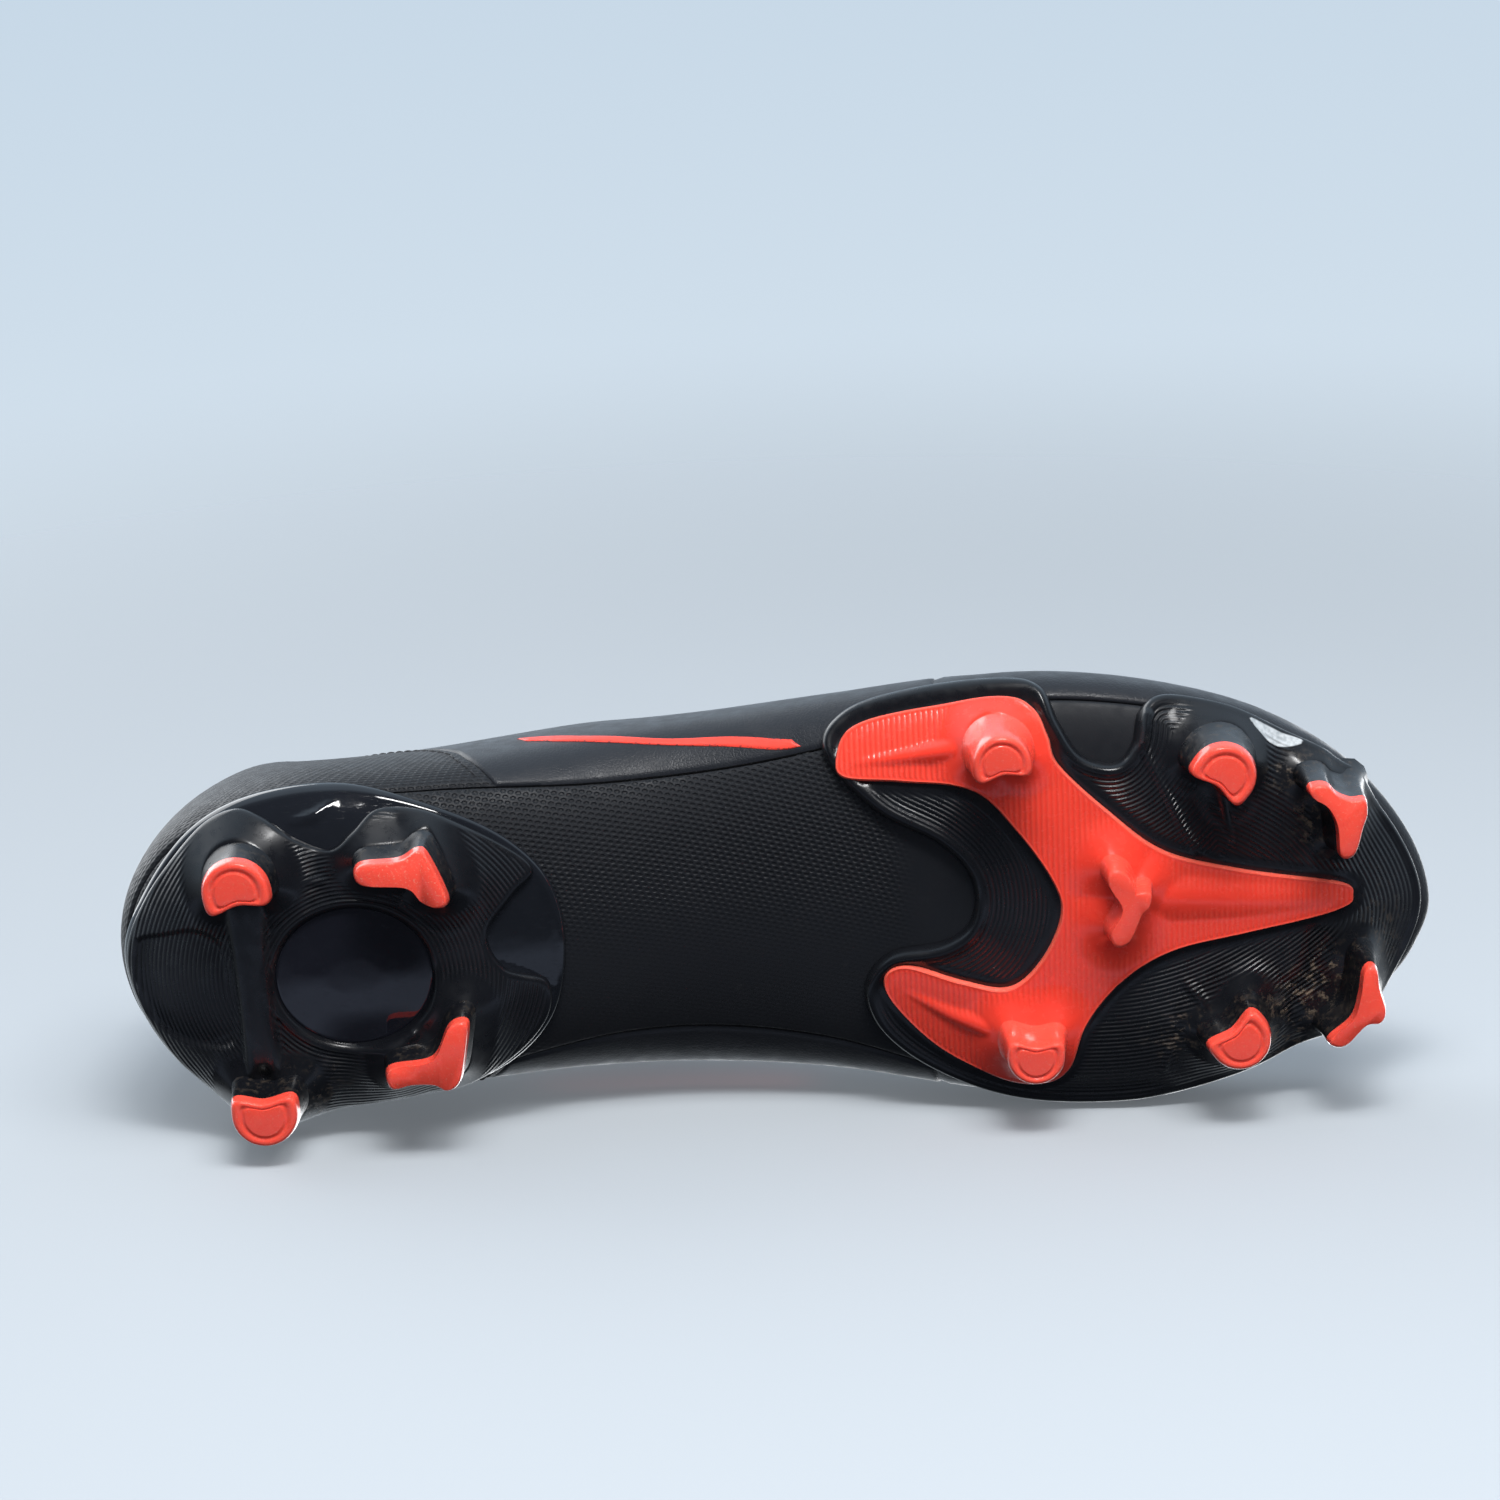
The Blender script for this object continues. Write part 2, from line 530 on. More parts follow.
def ridged_black():
    """Satin moulded plastic with fine contour ridges, dust near the toe studs and a pale inlay."""
    made, tree, shader = principled("plate_black_ridged", IOR=1.5, Coat_Weight=0.25,
                                    Coat_Roughness=0.12)
    contour, amount = field(tree, "contour"), field(tree, "ridge")
    line = maths(tree, "MULTIPLY", waves(tree, contour, 1.0), amount)
    patchy = noise(tree, 0.06, 3)
    dirt = maths(tree, "MULTIPLY", field(tree, "dirt"), ramp(tree, noise(tree, 0.55, 5, rough=0.75),
                                                             0.5, 0.66))
    base = mix_colour(tree, patchy, (0.004, 0.0045, 0.006), (0.0065, 0.0072, 0.0095))
    crest = maths(tree, "MULTIPLY", line, 0.35)
    base = mix_colour(tree, crest, base, (0.02, 0.022, 0.026))
    base = mix_colour(tree, dirt, base, (0.16, 0.12, 0.085))
    inlay = ramp(tree, field(tree, "pale"), -0.15, 0.15)
    grain = ramp(tree, noise(tree, 0.9, 4), 0.35, 0.65)
    base = mix_colour(tree, inlay, base, mix_colour(tree, grain, (0.32, 0.35, 0.37),
                                                    (0.48, 0.51, 0.53)))
    rough = ramp(tree, noise(tree, 0.35, 4), 0.3, 0.7, 0.24, 0.36)
    rough = maths(tree, "ADD", rough, maths(tree, "MULTIPLY", dirt, 0.45))
    surface_look(tree, shader, base, rough)
    bumps(tree, shader, (line, 0.26, 1.0), (noise(tree, 1.2, 3), 0.008, 0.4),
          (dirt, 0.12, 0.6))
    return made


def gloss_black(name, tint=(0.006, 0.007, 0.0095), rough=0.07, waviness=0.3):
    """Polished moulded plastic with hairline scratches."""
    made, tree, shader = principled(name, IOR=1.52, Coat_Weight=0.4, Coat_Roughness=0.04)
    scratch = ramp(tree, noise(tree, 0.5, 5, (1, 7, 1), 0.7), 0.6, 0.72)
    base = mix_colour(tree, noise(tree, 0.08, 3), tint, tuple(1.7 * c for c in tint))
    base = mix_colour(tree, maths(tree, "MULTIPLY", scratch, 0.12), base, (0.06, 0.065, 0.07))
    surface_look(tree, shader, base, maths(tree, "MULTIPLY_ADD", scratch, 0.16, rough))
    bumps(tree, shader, (noise(tree, 0.12, 2), waviness, 0.35), (scratch, 0.012, 0.5))
    return made


def crimson(name, ridged=True, tint=(0.86, 0.052, 0.03), pale=(0.95, 0.12, 0.08)):
    """Glossy, slightly translucent moulded plastic."""
    made, tree, shader = principled(
        name, IOR=1.5, Subsurface_Weight=0.18, Subsurface_Scale=0.0025,
        Subsurface_Radius=(1.0, 0.25, 0.12), Coat_Weight=0.45, Coat_Roughness=0.07)
    heights = [(noise(tree, 0.9, 3), 0.03, 0.4)]
    base = mix_colour(tree, ramp(tree, noise(tree, 0.09, 3), 0.3, 0.7), tint,
                      tuple(0.93 * c for c in tint))
    if ridged:
        across = add_node(tree, "ShaderNodeSeparateXYZ", {"Vector": place(tree)}).outputs[0]
        line = maths(tree, "MULTIPLY", waves(tree, across, 1.16), field(tree, "ridge"))
        base = mix_colour(tree, maths(tree, "MULTIPLY", line, 0.3), base, pale)
        base = mix_colour(tree, field(tree, "rim"), base, (0.9, 0.16, 0.11))
        heights.insert(0, (line, 0.2, 0.75))
    else:
        worn = maths(tree, "MULTIPLY", ramp(tree, noise(tree, 1.6, 5, rough=0.8), 0.56, 0.64),
                     field(tree, "wear"))
        base = mix_colour(tree, maths(tree, "MULTIPLY", worn, 0.7), base, (0.88, 0.52, 0.38))
        heights.append((worn, 0.05, 0.5))
    surface_look(tree, shader, base, ramp(tree, noise(tree, 0.5, 4), 0.3, 0.7, 0.17, 0.3))
    bumps(tree, shader, *heights)
    return made


RIDGED_BLACK = ridged_black()
GLOSS_BLACK = gloss_black("plate_black_gloss")
WINDOW_BLACK = gloss_black("window_black_gloss", (0.006, 0.0065, 0.01), 0.035, 0.12)
FORK_RED = crimson("fork_crimson")
TIP_RED = crimson("stud_tip_crimson", False, (0.93, 0.085, 0.055))


# ---------------------------------------------------------------- stud outlines
def round_stud_outline(centre, radius, hollow):
    """Most of a circle and a shallow hollow side that faces the direction hollow."""
    facing = math.radians(hollow)
    arc = [facing + math.radians(58 + 30.5 * i) for i in range(9)]
    points = [(centre[0] + radius * math.cos(a), centre[1] + radius * math.sin(a)) for a in arc]
    dent = 0.38 * radius
    return points + [(centre[0] + dent * math.cos(facing), centre[1] + dent * math.sin(facing))]


def blade_outline(centre, arms, half_width=2.3):
    """Three arms that meet at the centre, each with a blunt end."""
    arms = sorted(arms, key=lambda e: math.atan2(e[1] - centre[1], e[0] - centre[0]))
    headings = [math.atan2(e[1] - centre[1], e[0] - centre[0]) for e in arms]
    points = []
    for i, (end, heading) in enumerate(zip(arms, headings)):
        across = (-math.sin(heading) * half_width, math.cos(heading) * half_width)
        tip = (end[0] + math.cos(heading) * half_width, end[1] + math.sin(heading) * half_width)
        points += [(end[0] - across[0], end[1] - across[1]), tip,
                   (end[0] + across[0], end[1] + across[1])]
        to_next = (headings[(i + 1) % 3] - heading) % math.tau
        valley = half_width / max(math.sin(to_next / 2), 0.5)
        middle = heading + to_next / 2
        points.append((centre[0] + valley * math.cos(middle),
                       centre[1] + valley * math.sin(middle)))
    return points


def stud_table():
    """(name, smooth outline, height of the ground below it, plate it stands on)."""
    found = [(name, round_stud_outline(centre, radius, hollow), 0.0)
             for name, centre, radius, hollow in ROUND_STUDS]
    found += [(name, list(outline), TOE_STUD_LIFT if name[0] == "f" else 0.0)
              for name, outline in BLADE_STUDS]
    found = [(name, points, ground, name.split("_")[0]) for name, points, ground in found]
    found += [(f"fork_{i + 1}", round_stud_outline(*row), 0.0, "fork")
              for i, row in enumerate(FORK_ROUND_STUDS)]
    found.append(("fork_3", blade_outline(*FORK_MID_STUD), 0.0, "fork"))
    return [(name, even_loop(points, 0.75), ground, plate_name)
            for name, points, ground, plate_name in found]


STUDS = stud_table()


def flares(x, y, plate_name, reach, rise):
    """How far the plate swells round its studs."""
    total = np.zeros(np.shape(x))
    for _, loop, _, owner in STUDS:
        if owner != plate_name:
            continue
        d = np.where(inside(np.stack([x, y], 1), loop), 0, loop_distance(x, y, loop))
        total = np.maximum(total, rise * np.clip(1 - d / reach, 0, 1) ** 2)
    return total


def rib(x, y, points, heights, widths, sharpness=1.0):
    """A raised line on a plate, whose height and half width change along it."""
    d, s = line_distance(x, y, points)
    steps = np.linspace(0, 1, len(heights))
    width = np.interp(s, steps, widths)
    rise = np.interp(s, steps, heights)
    return rise * np.clip(1 - (d / width) ** 2, 0, 1) ** (1.5 / sharpness)


def rounded_edge(d, radius):
    """0 at the edge, rising in a quarter circle to 1."""
    return np.sqrt(1 - (1 - np.clip(d / radius, 0, 1)) ** 2)


# ---------------------------------------------------------------- sole
HEEL_RECESS = ((-140, -5), (-133, -7.5), (-126, -8.5), (-121, -6), (-119, 2), (-118.5, 12),
               (-120, 19), (-131, 18), (-137.5, 13), (-140.5, 4))
TOE_INLAY = ((103.4, -44.8), (107, -43.4), (110.8, -41.5), (115.4, -38.9), (112.2, -38.4),
             (108.8, -39.3), (106.2, -41.4))


def signed(x, y, loop):
    """Distance into the loop: positive inside and negative outside."""
    d = loop_distance(x, y, loop)
    return np.where(inside(np.stack([x, y], 1), loop), d, -d)


WINDOW_LOOP = [(WINDOW_CENTRE[0] + WINDOW_RADII[0] * math.cos(a),
                WINDOW_CENTRE[1] + WINDOW_RADII[1] * math.sin(a))
               for a in (math.tau * i / 20 for i in range(20))]
RECESS_LOOP = even_loop(HEEL_RECESS, 0.8)
INLAY_LOOP = even_loop(TOE_INLAY, 0.4)
FORK_LOOP = even_loop(FORK_OUTLINE, 0.8)


def window_reach(x, y):
    """Distance outside the heel window, along its own oval contours."""
    rx, ry = WINDOW_RADII
    scaled = np.hypot((x - WINDOW_CENTRE[0]) / rx, (y - WINDOW_CENTRE[1]) / ry)
    return (scaled - 1) * (rx + ry) / 2


def heel_base_height(x, y, d):
    top = 1.25 + 0.35 * np.exp(-((d - 1.6) / 0.9) ** 2)
    top = top + rib(x, y, ((-60.5, 4.5), (-55, 6.5), (-49, 9.5)), (0.5, 0.5, 0.1), (1.1, 1.0, 0.7))
    top = top + rib(x, y, ((-104, -30.5), (-99, -31.5), (-95, -34)), (0.6, 1.1, 0.2), (1, 1.3, 0.8))
    return 0.3 + top * rounded_edge(d, 0.9)


def heel_relief(x, y):
    """Flares, struts, fins and the recess behind the rear studs, above the plain plate."""
    total = flares(x, y, "heel", 11.0, 4.0)
    bar, s = line_distance(x, y, ((-114.6, -14), (-114.0, 4), (-112.6, 25)))
    waist = 5.2 - 1.3 * np.sin(math.pi * np.clip(s, 0, 1))
    strut = (3.6 - 1.0 * np.sin(math.pi * s)) * np.clip(1 - (bar / waist) ** 3, 0, 1) ** 0.8
    strut = strut - 0.35 * np.exp(-(bar / 1.4) ** 2) * np.clip(strut, 0, 1)
    total = np.maximum(total, strut)
    for points, heights, widths in (
            (((-71, 13), (-67.5, 2)), (3.6, 0.2), (2.6, 0.8)),
            (((-74, 15), (-72.5, 3)), (3.0, 0.2), (2.0, 0.7)),
            (((-80, 17), (-86, 19.5), (-92, 21.5)), (2.6, 1.5, 0.3), (3.0, 2.2, 1.2)),
            (((-75, -25), (-72.5, -33)), (2.8, 1.1), (3.4, 2.2)),
            (((-84, -24.5), (-89, -22), (-92, -17)), (2.0, 1.1, 0.2), (3.2, 2.4, 1.4)),
            (((-108, -17.5), (-100, -18.5), (-93, -19)), (1.6, 0.9, 0.2), (2.4, 1.6, 1.0)),
            (((-119, -26), (-124, -26.5)), (2.0, 0.3), (4.0, 2.5)),
            (((-106, 31), (-100, 30.5)), (1.8, 0.2), (3.2, 1.6))):
        total = np.maximum(total, rib(x, y, points, heights, widths))
    return total


def heel_overlay_height(x, y, d):
    relief = heel_relief(x, y)
    recess = 0.75 * smooth_step(signed(x, y, RECESS_LOOP), 0.0, 0.8) * (1 - np.clip(relief, 0, 1))
    socket = np.hypot(x + 112.6, (y - 24.2) * 0.8)
    dent = 1.3 * np.clip(1 - (socket / 2.1) ** 2, 0, 1)
    lip = 0.5 * np.exp(-((window_reach(x, y) - 1.5) / 0.9) ** 2)
    top = 1.85 + lip + relief - recess - dent
    return 1.45 + top * rounded_edge(d, 1.1)


def heel_overlay_fields(x, y, d):
    relief = heel_relief(x, y)
    near = window_reach(x, y)
    ridge = (1 - smooth_step(relief, 0.25, 1.3)) * smooth_step(d, 1.0, 2.2)
    dirt = 0.5 * np.exp(-((x + 104) ** 2 + (y - 33) ** 2) / 60)
    return {"contour": near * 1.05, "ridge": ridge, "dirt": dirt, "pale": np.full(len(x), -9.0)}


def window_height(x, y, d):
    return 1.8 + (0.55 + 0.35 * smooth_step(d, 1, 12)) * rounded_edge(d, 0.6)


def fore_relief(x, y):
    total = flares(x, y, "forefoot", 9.5, 3.6)
    for points, heights, widths in (
            (((98, -41), (100.6, -46.4)), (3.2, 0.4), (2.2, 0.9)),
            (((96.5, -32), (99.2, -19.5)), (3.4, 0.1), (2.6, 0.9)),
            (((119, -31.8), (110.6, -35.8)), (2.9, 0.2), (2.3, 1.0)),
            (((101.2, 17.5), (106.6, 9.2)), (3.3, 0.1), (2.3, 0.8)),
            (((128.8, 9), (128.2, 0.8)), (3.0, 0.1), (2.4, 0.9)),
            (((93, 17.5), (88.5, 11.5)), (1.6, 0.1), (2.2, 1.0)),
            (((126, -22), (127, -14)), (2.2, 0.1), (2.6, 1.2))):
        total = np.maximum(total, rib(x, y, points, heights, widths))
    crease = rib(x, y, ((81.5, -47.5), (80.5, -40.5), (84.3, -32.6), (88.2, -23.5), (91.6, -18),
                        (96.5, -15)),
                 (0.9, 0.9, 0.7, 0.6, 0.4, 0.1), (1.5, 1.5, 1.3, 1.2, 1.1, 0.8))
    crease2 = rib(x, y, ((84, 33), (86, 25), (90, 17)), (0.6, 0.5, 0.1), (1.4, 1.2, 0.8))
    return np.maximum(total, np.maximum(crease, crease2))


def fore_height(x, y, d):
    strong = 1 - smooth_step(x, 78, 92)
    rim = strong * 0.95 * np.exp(-((d - 1.9) / 1.25) ** 2)
    rim = rim + (1 - strong) * 0.3 * np.exp(-((d - 1.0) / 0.7) ** 2)
    seat = -0.35 * np.exp(-(loop_distance(x, y, FORK_LOOP) / 0.55) ** 2)
    top = 1.95 + rim + seat + fore_relief(x, y)
    return 0.3 + top * rounded_edge(d, 1.5)


def fore_fields(x, y, d):
    relief = fore_relief(x, y)
    from_fork = loop_distance(x, y, FORK_LOOP)
    lateral_arm = np.exp(-((x - 30) / 22) ** 2 - ((y + 40) / 14) ** 2)
    ridge = ((1 - smooth_step(relief, 0.3, 1.4)) * smooth_step(from_fork, 1.6, 3.6)
             * smooth_step(d, 2.2, 3.6) * (1 - 0.6 * lateral_arm))
    spots = ((114, 18, 9, 5, 1.0), (121, 11, 5, 4, 0.9), (118, -24, 4, 8, 0.75),
             (88, 24, 6, 5, 0.6), (109, 27, 8, 4, 0.8), (112, -33, 5, 3, 0.5), (133, 4, 4, 9, 0.35))
    dirt = sum(k * np.exp(-((x - cx) / sx) ** 2 - ((y - cy) / sy) ** 2)
               for cx, cy, sx, sy, k in spots)
    return {"contour": d, "ridge": ridge, "dirt": np.clip(dirt, 0, 1),
            "pale": signed(x, y, INLAY_LOOP)}


def fork_relief(x, y):
    total = flares(x, y, "fork", 9.5, 3.6)
    for points, heights, widths in (
            (((18, -37.8), (30, -39.6), (44, -42)), (0.1, 1.1, 2.6), (0.9, 2.0, 4.2)),
            (((28.5, 13.5), (38, 18.5), (50, 23)), (0.1, 1.0, 2.4), (0.9, 2.2, 4.6)),
            (((79, -8.6), (96, -7), (121, -5)), (1.5, 0.7, 0.1), (6.0, 4.5, 2.5)),
            (((72.5, -18.5), (75, -15)), (2.0, 2.2), (5.2, 5.2)),
            (((49, -36), (50, -31.5)), (1.4, 0.1), (4.5, 2.5))):
        total = np.maximum(total, rib(x, y, points, heights, widths))
    return total


def fork_height(x, y, d):
    lip = 0.16 * np.exp(-((d - 0.5) / 0.35) ** 2)
    return 1.9 + (1.3 + lip + fork_relief(x, y)) * rounded_edge(d, 0.55)


def fork_fields(x, y, d):
    ridge = (1 - smooth_step(fork_relief(x, y), 0.15, 1.0)) * smooth_step(d, 0.7, 1.4)
    return {"ridge": ridge, "rim": 0.75 * (1 - smooth_step(d, 0.25, 0.8))}


def make_plates():
    piece(plate("heel_base_shell", HEEL_OUTLINE, 1.0, heel_base_height, 0.3, GLOSS_BLACK,
                nominal=1.5), "shoe", "heel_base_gloss", "heel_base")
    piece(plate("heel_overlay", HEEL_RIBBED_OUTLINE, 0.65, heel_overlay_height, 1.45, RIDGED_BLACK,
                heel_overlay_fields, (WINDOW_LOOP,), nominal=3.6),
          "shoe", "heel_plate_ribbed", "heel_plate")
    pane = [(WINDOW_CENTRE[0] + (x - WINDOW_CENTRE[0]) * 1.02,
             WINDOW_CENTRE[1] + (y - WINDOW_CENTRE[1]) * 1.02) for x, y in WINDOW_LOOP]
    piece(plate("heel_pane", pane, 0.6, window_height, 1.55, WINDOW_BLACK, nominal=2.5),
          "shoe", "window_gloss", "heel_window")
    piece(plate("forefoot_shell", FOREFOOT_OUTLINE, 0.65, fore_height, 0.3, RIDGED_BLACK,
                fore_fields), "shoe", "forefoot_plate_gloss", "forefoot_plate")
    piece(plate("fork_shell", FORK_OUTLINE, 0.65, fork_height, 1.9, FORK_RED, fork_fields,
                nominal=3.3), "shoe", "chevron_crimson", "chevron_plate")


# ---------------------------------------------------------------- studs
def loft(name, rings, look, fields=None):
    """A closed solid through rings of points, with flat ends."""
    rings = [np.asarray(ring, float) for ring in rings]
    n = len(rings[0])
    k = np.arange(n)
    faces = []
    for i in range(len(rings) - 1):
        a, b = i * n, (i + 1) * n
        faces += np.stack([a + k, a + (k + 1) % n, b + (k + 1) % n, b + k], axis=1).tolist()
    faces += [list(range(n))[::-1], [(len(rings) - 1) * n + int(j) for j in k]]
    return make_mesh(name, np.vstack(rings), faces, look, 50, fields)


def ring_at(loop, grow, z):
    moved = offset_loop(loop, -grow)
    return np.column_stack([moved, np.broadcast_to(np.asarray(z, float), len(loop))])


def stud_body(loop, low, root_depth):
    """Rings of a stud's sides, which spread out into the plate."""
    rings = []
    highest = np.percentile(sole_z(loop[:, 0], loop[:, 1]), 75) + 0.4
    for k in np.linspace(0, 1, 13):
        grow = 0.2 + 0.8 * k + 2.2 * k ** 3.2
        moved = offset_loop(loop, -grow)
        root = np.minimum(sole_z(moved[:, 0], moved[:, 1]) - root_depth, highest)
        rings.append(np.column_stack([moved, low + (root - low) * k]))
    return rings


def tip_rings(loop, ground, top, detailed):
    """Rings from the middle of the worn face out over its rounded edge and up to the joint."""
    middle = loop.mean(axis=0)
    reach = np.hypot(*(loop - middle).T).max()
    steps = [(1 + grow / reach, rise) for grow, rise in (
        (-1.15, 0), (-0.75, 0.12), (-0.42, 0.4), (-0.2, 0.85), (-0.05, 1.6))]
    if detailed:
        steps = [(0.55, 0), (0.59, 0.02), (0.63, 0.3), (0.7, 0.3), (0.74, 0.02)] + steps
    rings = [np.column_stack([middle + (loop - middle) * scale, np.full(len(loop), ground + rise)])
             for scale, rise in steps]
    rings.append(ring_at(loop, 0.2, top))
    return rings


def make_studs():
    for name, loop, ground, owner in STUDS:
        detailed = name.startswith("fork_1") or name.startswith("fork_2") or "mid" in name \
            or "rear" in name
        joint = ground + STUD_TIP_HEIGHT
        tips = tip_rings(loop, ground, joint, detailed)
        wear = 0.35 if name != "heel_lateral_front" else 1.0
        if owner == "fork":
            rings = tips[:-1] + stud_body(loop, joint, 1.5)
            heights = np.vstack(rings)[:, 2]
            fields = {"wear": wear * (1 - smooth_step(heights, ground, ground + 1.5))}
            piece(loft(f"{name}_stud", rings, TIP_RED, fields), "shoe", "chevron_crimson")
            continue
        heights = np.vstack(tips)[:, 2]
        fields = {"wear": wear * (1 - smooth_step(heights, ground, ground + 1.8))}
        piece(loft(f"{name}_cap", tips, TIP_RED, fields), "shoe", "stud_tip_crimson", f"{name}_tip")
        rings = stud_body(loop, joint - 0.05, 1.2)
        count = sum(len(ring) for ring in rings)
        nothing = {"contour": np.zeros(count), "ridge": np.zeros(count),
                   "dirt": np.full(count, 0.2), "pale": np.full(count, -9.0)}
        slot = "heel_plate_ribbed" if owner == "heel" else "forefoot_plate_gloss"
        piece(loft(f"{name}_stud", rings, RIDGED_BLACK, nothing), "shoe", slot)


# ---------------------------------------------------------------- upper materials
def dashes(tree, pitch_along, pitch_across):
    """Staggered small dimples in rows, 0 between them and 1 in their middle."""
    a = maths(tree, "DIVIDE", field(tree, "along"), pitch_along)
    b = maths(tree, "DIVIDE", field(tree, "across"), pitch_across)
    a = maths(tree, "ADD", a, maths(tree, "MULTIPLY", maths(tree, "FLOOR", b), 0.5))
    from_a = maths(tree, "SUBTRACT", maths(tree, "FRACT", a), 0.5)
    from_b = maths(tree, "SUBTRACT", maths(tree, "FRACT", b), 0.5)
    reach = maths(tree, "SQRT", maths(tree, "ADD", maths(tree, "POWER", maths(tree, "ABSOLUTE",
                  from_a), 2.0), maths(tree, "POWER", maths(tree, "ABSOLUTE", from_b), 2.0)))
    return ramp(tree, reach, 0.18, 0.44, 1.0, 0.0)


def dimpled_textile():
    """Coated textile with rows of small dimples, which fade where the field smooth is 1."""
    made, tree, shader = principled("wrap_dimpled_textile", IOR=1.45, Sheen_Weight=0.05)
    pits = maths(tree, "MULTIPLY", dashes(tree, 1.75, 1.05),
                 maths(tree, "SUBTRACT", 1.0, field(tree, "smooth")))
    base = mix_colour(tree, noise(tree, 0.05, 3), (0.0065, 0.0074, 0.0098),
                      (0.0095, 0.0106, 0.0135))
    base = mix_colour(tree, maths(tree, "MULTIPLY", pits, 0.6), base, (0.003, 0.0034, 0.0045))
    scuff = ramp(tree, noise(tree, 0.3, 5, rough=0.75), 0.62, 0.74)
    base = mix_colour(tree, maths(tree, "MULTIPLY", scuff, 0.1), base, (0.07, 0.07, 0.07))
    surface_look(tree, shader, base, ramp(tree, noise(tree, 0.4, 4), 0.3, 0.7, 0.46, 0.6))
    bumps(tree, shader, (maths(tree, "SUBTRACT", 1.0, pits), 0.28, 0.8), (noise(tree, 3.0, 4), 0.03,
                                                                        0.5))
    return made


def satin_synthetic(name, tint, rough, pitch):
    """Smooth coated synthetic with a fine grain."""
    made, tree, shader = principled(name, IOR=1.45, Sheen_Weight=0.08, Sheen_Roughness=0.4)
    grain = add_node(tree, "ShaderNodeTexVoronoi", {"Vector": place(tree), "Scale": 1 / pitch},
                     feature="DISTANCE_TO_EDGE").outputs["Distance"]
    grain = ramp(tree, grain, 0.0, 0.18)
    base = mix_colour(tree, noise(tree, 0.04, 3), tint, tuple(1.35 * c for c in tint))
    fold = ramp(tree, noise(tree, 0.1, 4, (1, 2.2, 1)), 0.55, 0.75)
    base = mix_colour(tree, maths(tree, "MULTIPLY", fold, 0.1), base, (0.06, 0.064, 0.072))
    surface_look(tree, shader, base,
                 ramp(tree, noise(tree, 0.25, 4), 0.3, 0.7, rough - 0.05, rough + 0.07))
    bumps(tree, shader, (grain, 0.045, 0.5), (noise(tree, 0.07, 3), 0.5, 0.25))
    return made


def knit(name, tint, wale=1.15, course=0.85):
    """Ribbed knit: upright wales of small V stitches."""
    made, tree, shader = principled(name, IOR=1.4, Sheen_Weight=0.25, Sheen_Roughness=0.5)
    a = maths(tree, "DIVIDE", field(tree, "along"), wale)
    tilt = maths(tree, "ABSOLUTE", maths(tree, "SUBTRACT", maths(tree, "FRACT", a), 0.5))
    b = maths(tree, "ADD", maths(tree, "DIVIDE", field(tree, "across"), course),
              maths(tree, "MULTIPLY", tilt, 1.3))
    rows = waves(tree, b, 1.0)
    wales = maths(tree, "SQRT", maths(tree, "SINE", maths(tree, "MULTIPLY", maths(
        tree, "FRACT", a), math.pi)))
    height = maths(tree, "MULTIPLY", wales, maths(tree, "MULTIPLY_ADD", rows, 0.6, 0.4))
    base = mix_colour(tree, height, tuple(0.45 * c for c in tint), tint)
    base = mix_colour(tree, maths(tree, "MULTIPLY", noise(tree, 1.5, 5), 0.15), base,
                      tuple(2.2 * c for c in tint))
    surface_look(tree, shader, base, ramp(tree, noise(tree, 0.8, 3), 0.3, 0.7, 0.78, 0.92))
    bumps(tree, shader, (height, 0.35, 0.9), (noise(tree, 5, 3), 0.05, 0.5))
    return made


def plain_board(name, tint, rough, fibre):
    """Pressed board or foam for the layers inside."""
    made, tree, shader = principled(name, IOR=1.4)
    base = mix_colour(tree, noise(tree, fibre, 5, (1, 3, 1), 0.7), tint,
                      tuple(1.4 * c for c in tint))
    surface_look(tree, shader, base,
                 ramp(tree, noise(tree, 0.5, 3), 0.3, 0.7, rough - 0.06, rough + 0.06))
    bumps(tree, shader, (noise(tree, fibre, 5, (1, 3, 1), 0.7), 0.12, 0.6))
    return made


def stripe_film():
    """Thin printed film with a slight grain and worn edges."""
    made, tree, shader = principled("stripe_film_crimson", IOR=1.48, Coat_Weight=0.15,
                                    Coat_Roughness=0.25)
    worn = maths(tree, "MULTIPLY", ramp(tree, noise(tree, 1.4, 5, rough=0.75), 0.52, 0.6),
                 ramp(tree, field(tree, "edge"), 0.0, 1.2, 0.8, 0.0))
    base = mix_colour(tree, noise(tree, 0.2, 3), (0.76, 0.045, 0.028), (0.86, 0.07, 0.045))
    base = mix_colour(tree, worn, base, (0.03, 0.03, 0.033))
    surface_look(tree, shader, base, ramp(tree, noise(tree, 0.6, 3), 0.3, 0.7, 0.34, 0.48))
    bumps(tree, shader, (noise(tree, 1.8, 3), 0.03, 0.5))
    return made


WRAP = dimpled_textile()
SATIN = satin_synthetic("quarter_satin_synthetic", (0.012, 0.0135, 0.017), 0.4, 0.9)
VAMP_GRAIN = satin_synthetic("vamp_grain_synthetic", (0.0105, 0.0115, 0.0145), 0.38, 1.3)
STAY_FILM = satin_synthetic("eyestay_film_black", (0.007, 0.008, 0.0095), 0.3, 0.6)
COLLAR_KNIT = knit("collar_knit_black", (0.017, 0.018, 0.021))
TONGUE_KNIT = knit("tongue_knit_black", (0.019, 0.02, 0.023), 1.4, 1.1)
LINING = knit("sockliner_textile", (0.028, 0.03, 0.035), 0.9, 0.9)
THREAD = plain_board("thread_black", (0.02, 0.021, 0.024), 0.6, 2.5)
BOARD_LOOK = plain_board("strobel_board_fibre", (0.42, 0.39, 0.33), 0.85, 1.2)
STIFFENER = plain_board("stiffener_fibre", (0.5, 0.47, 0.4), 0.8, 1.0)


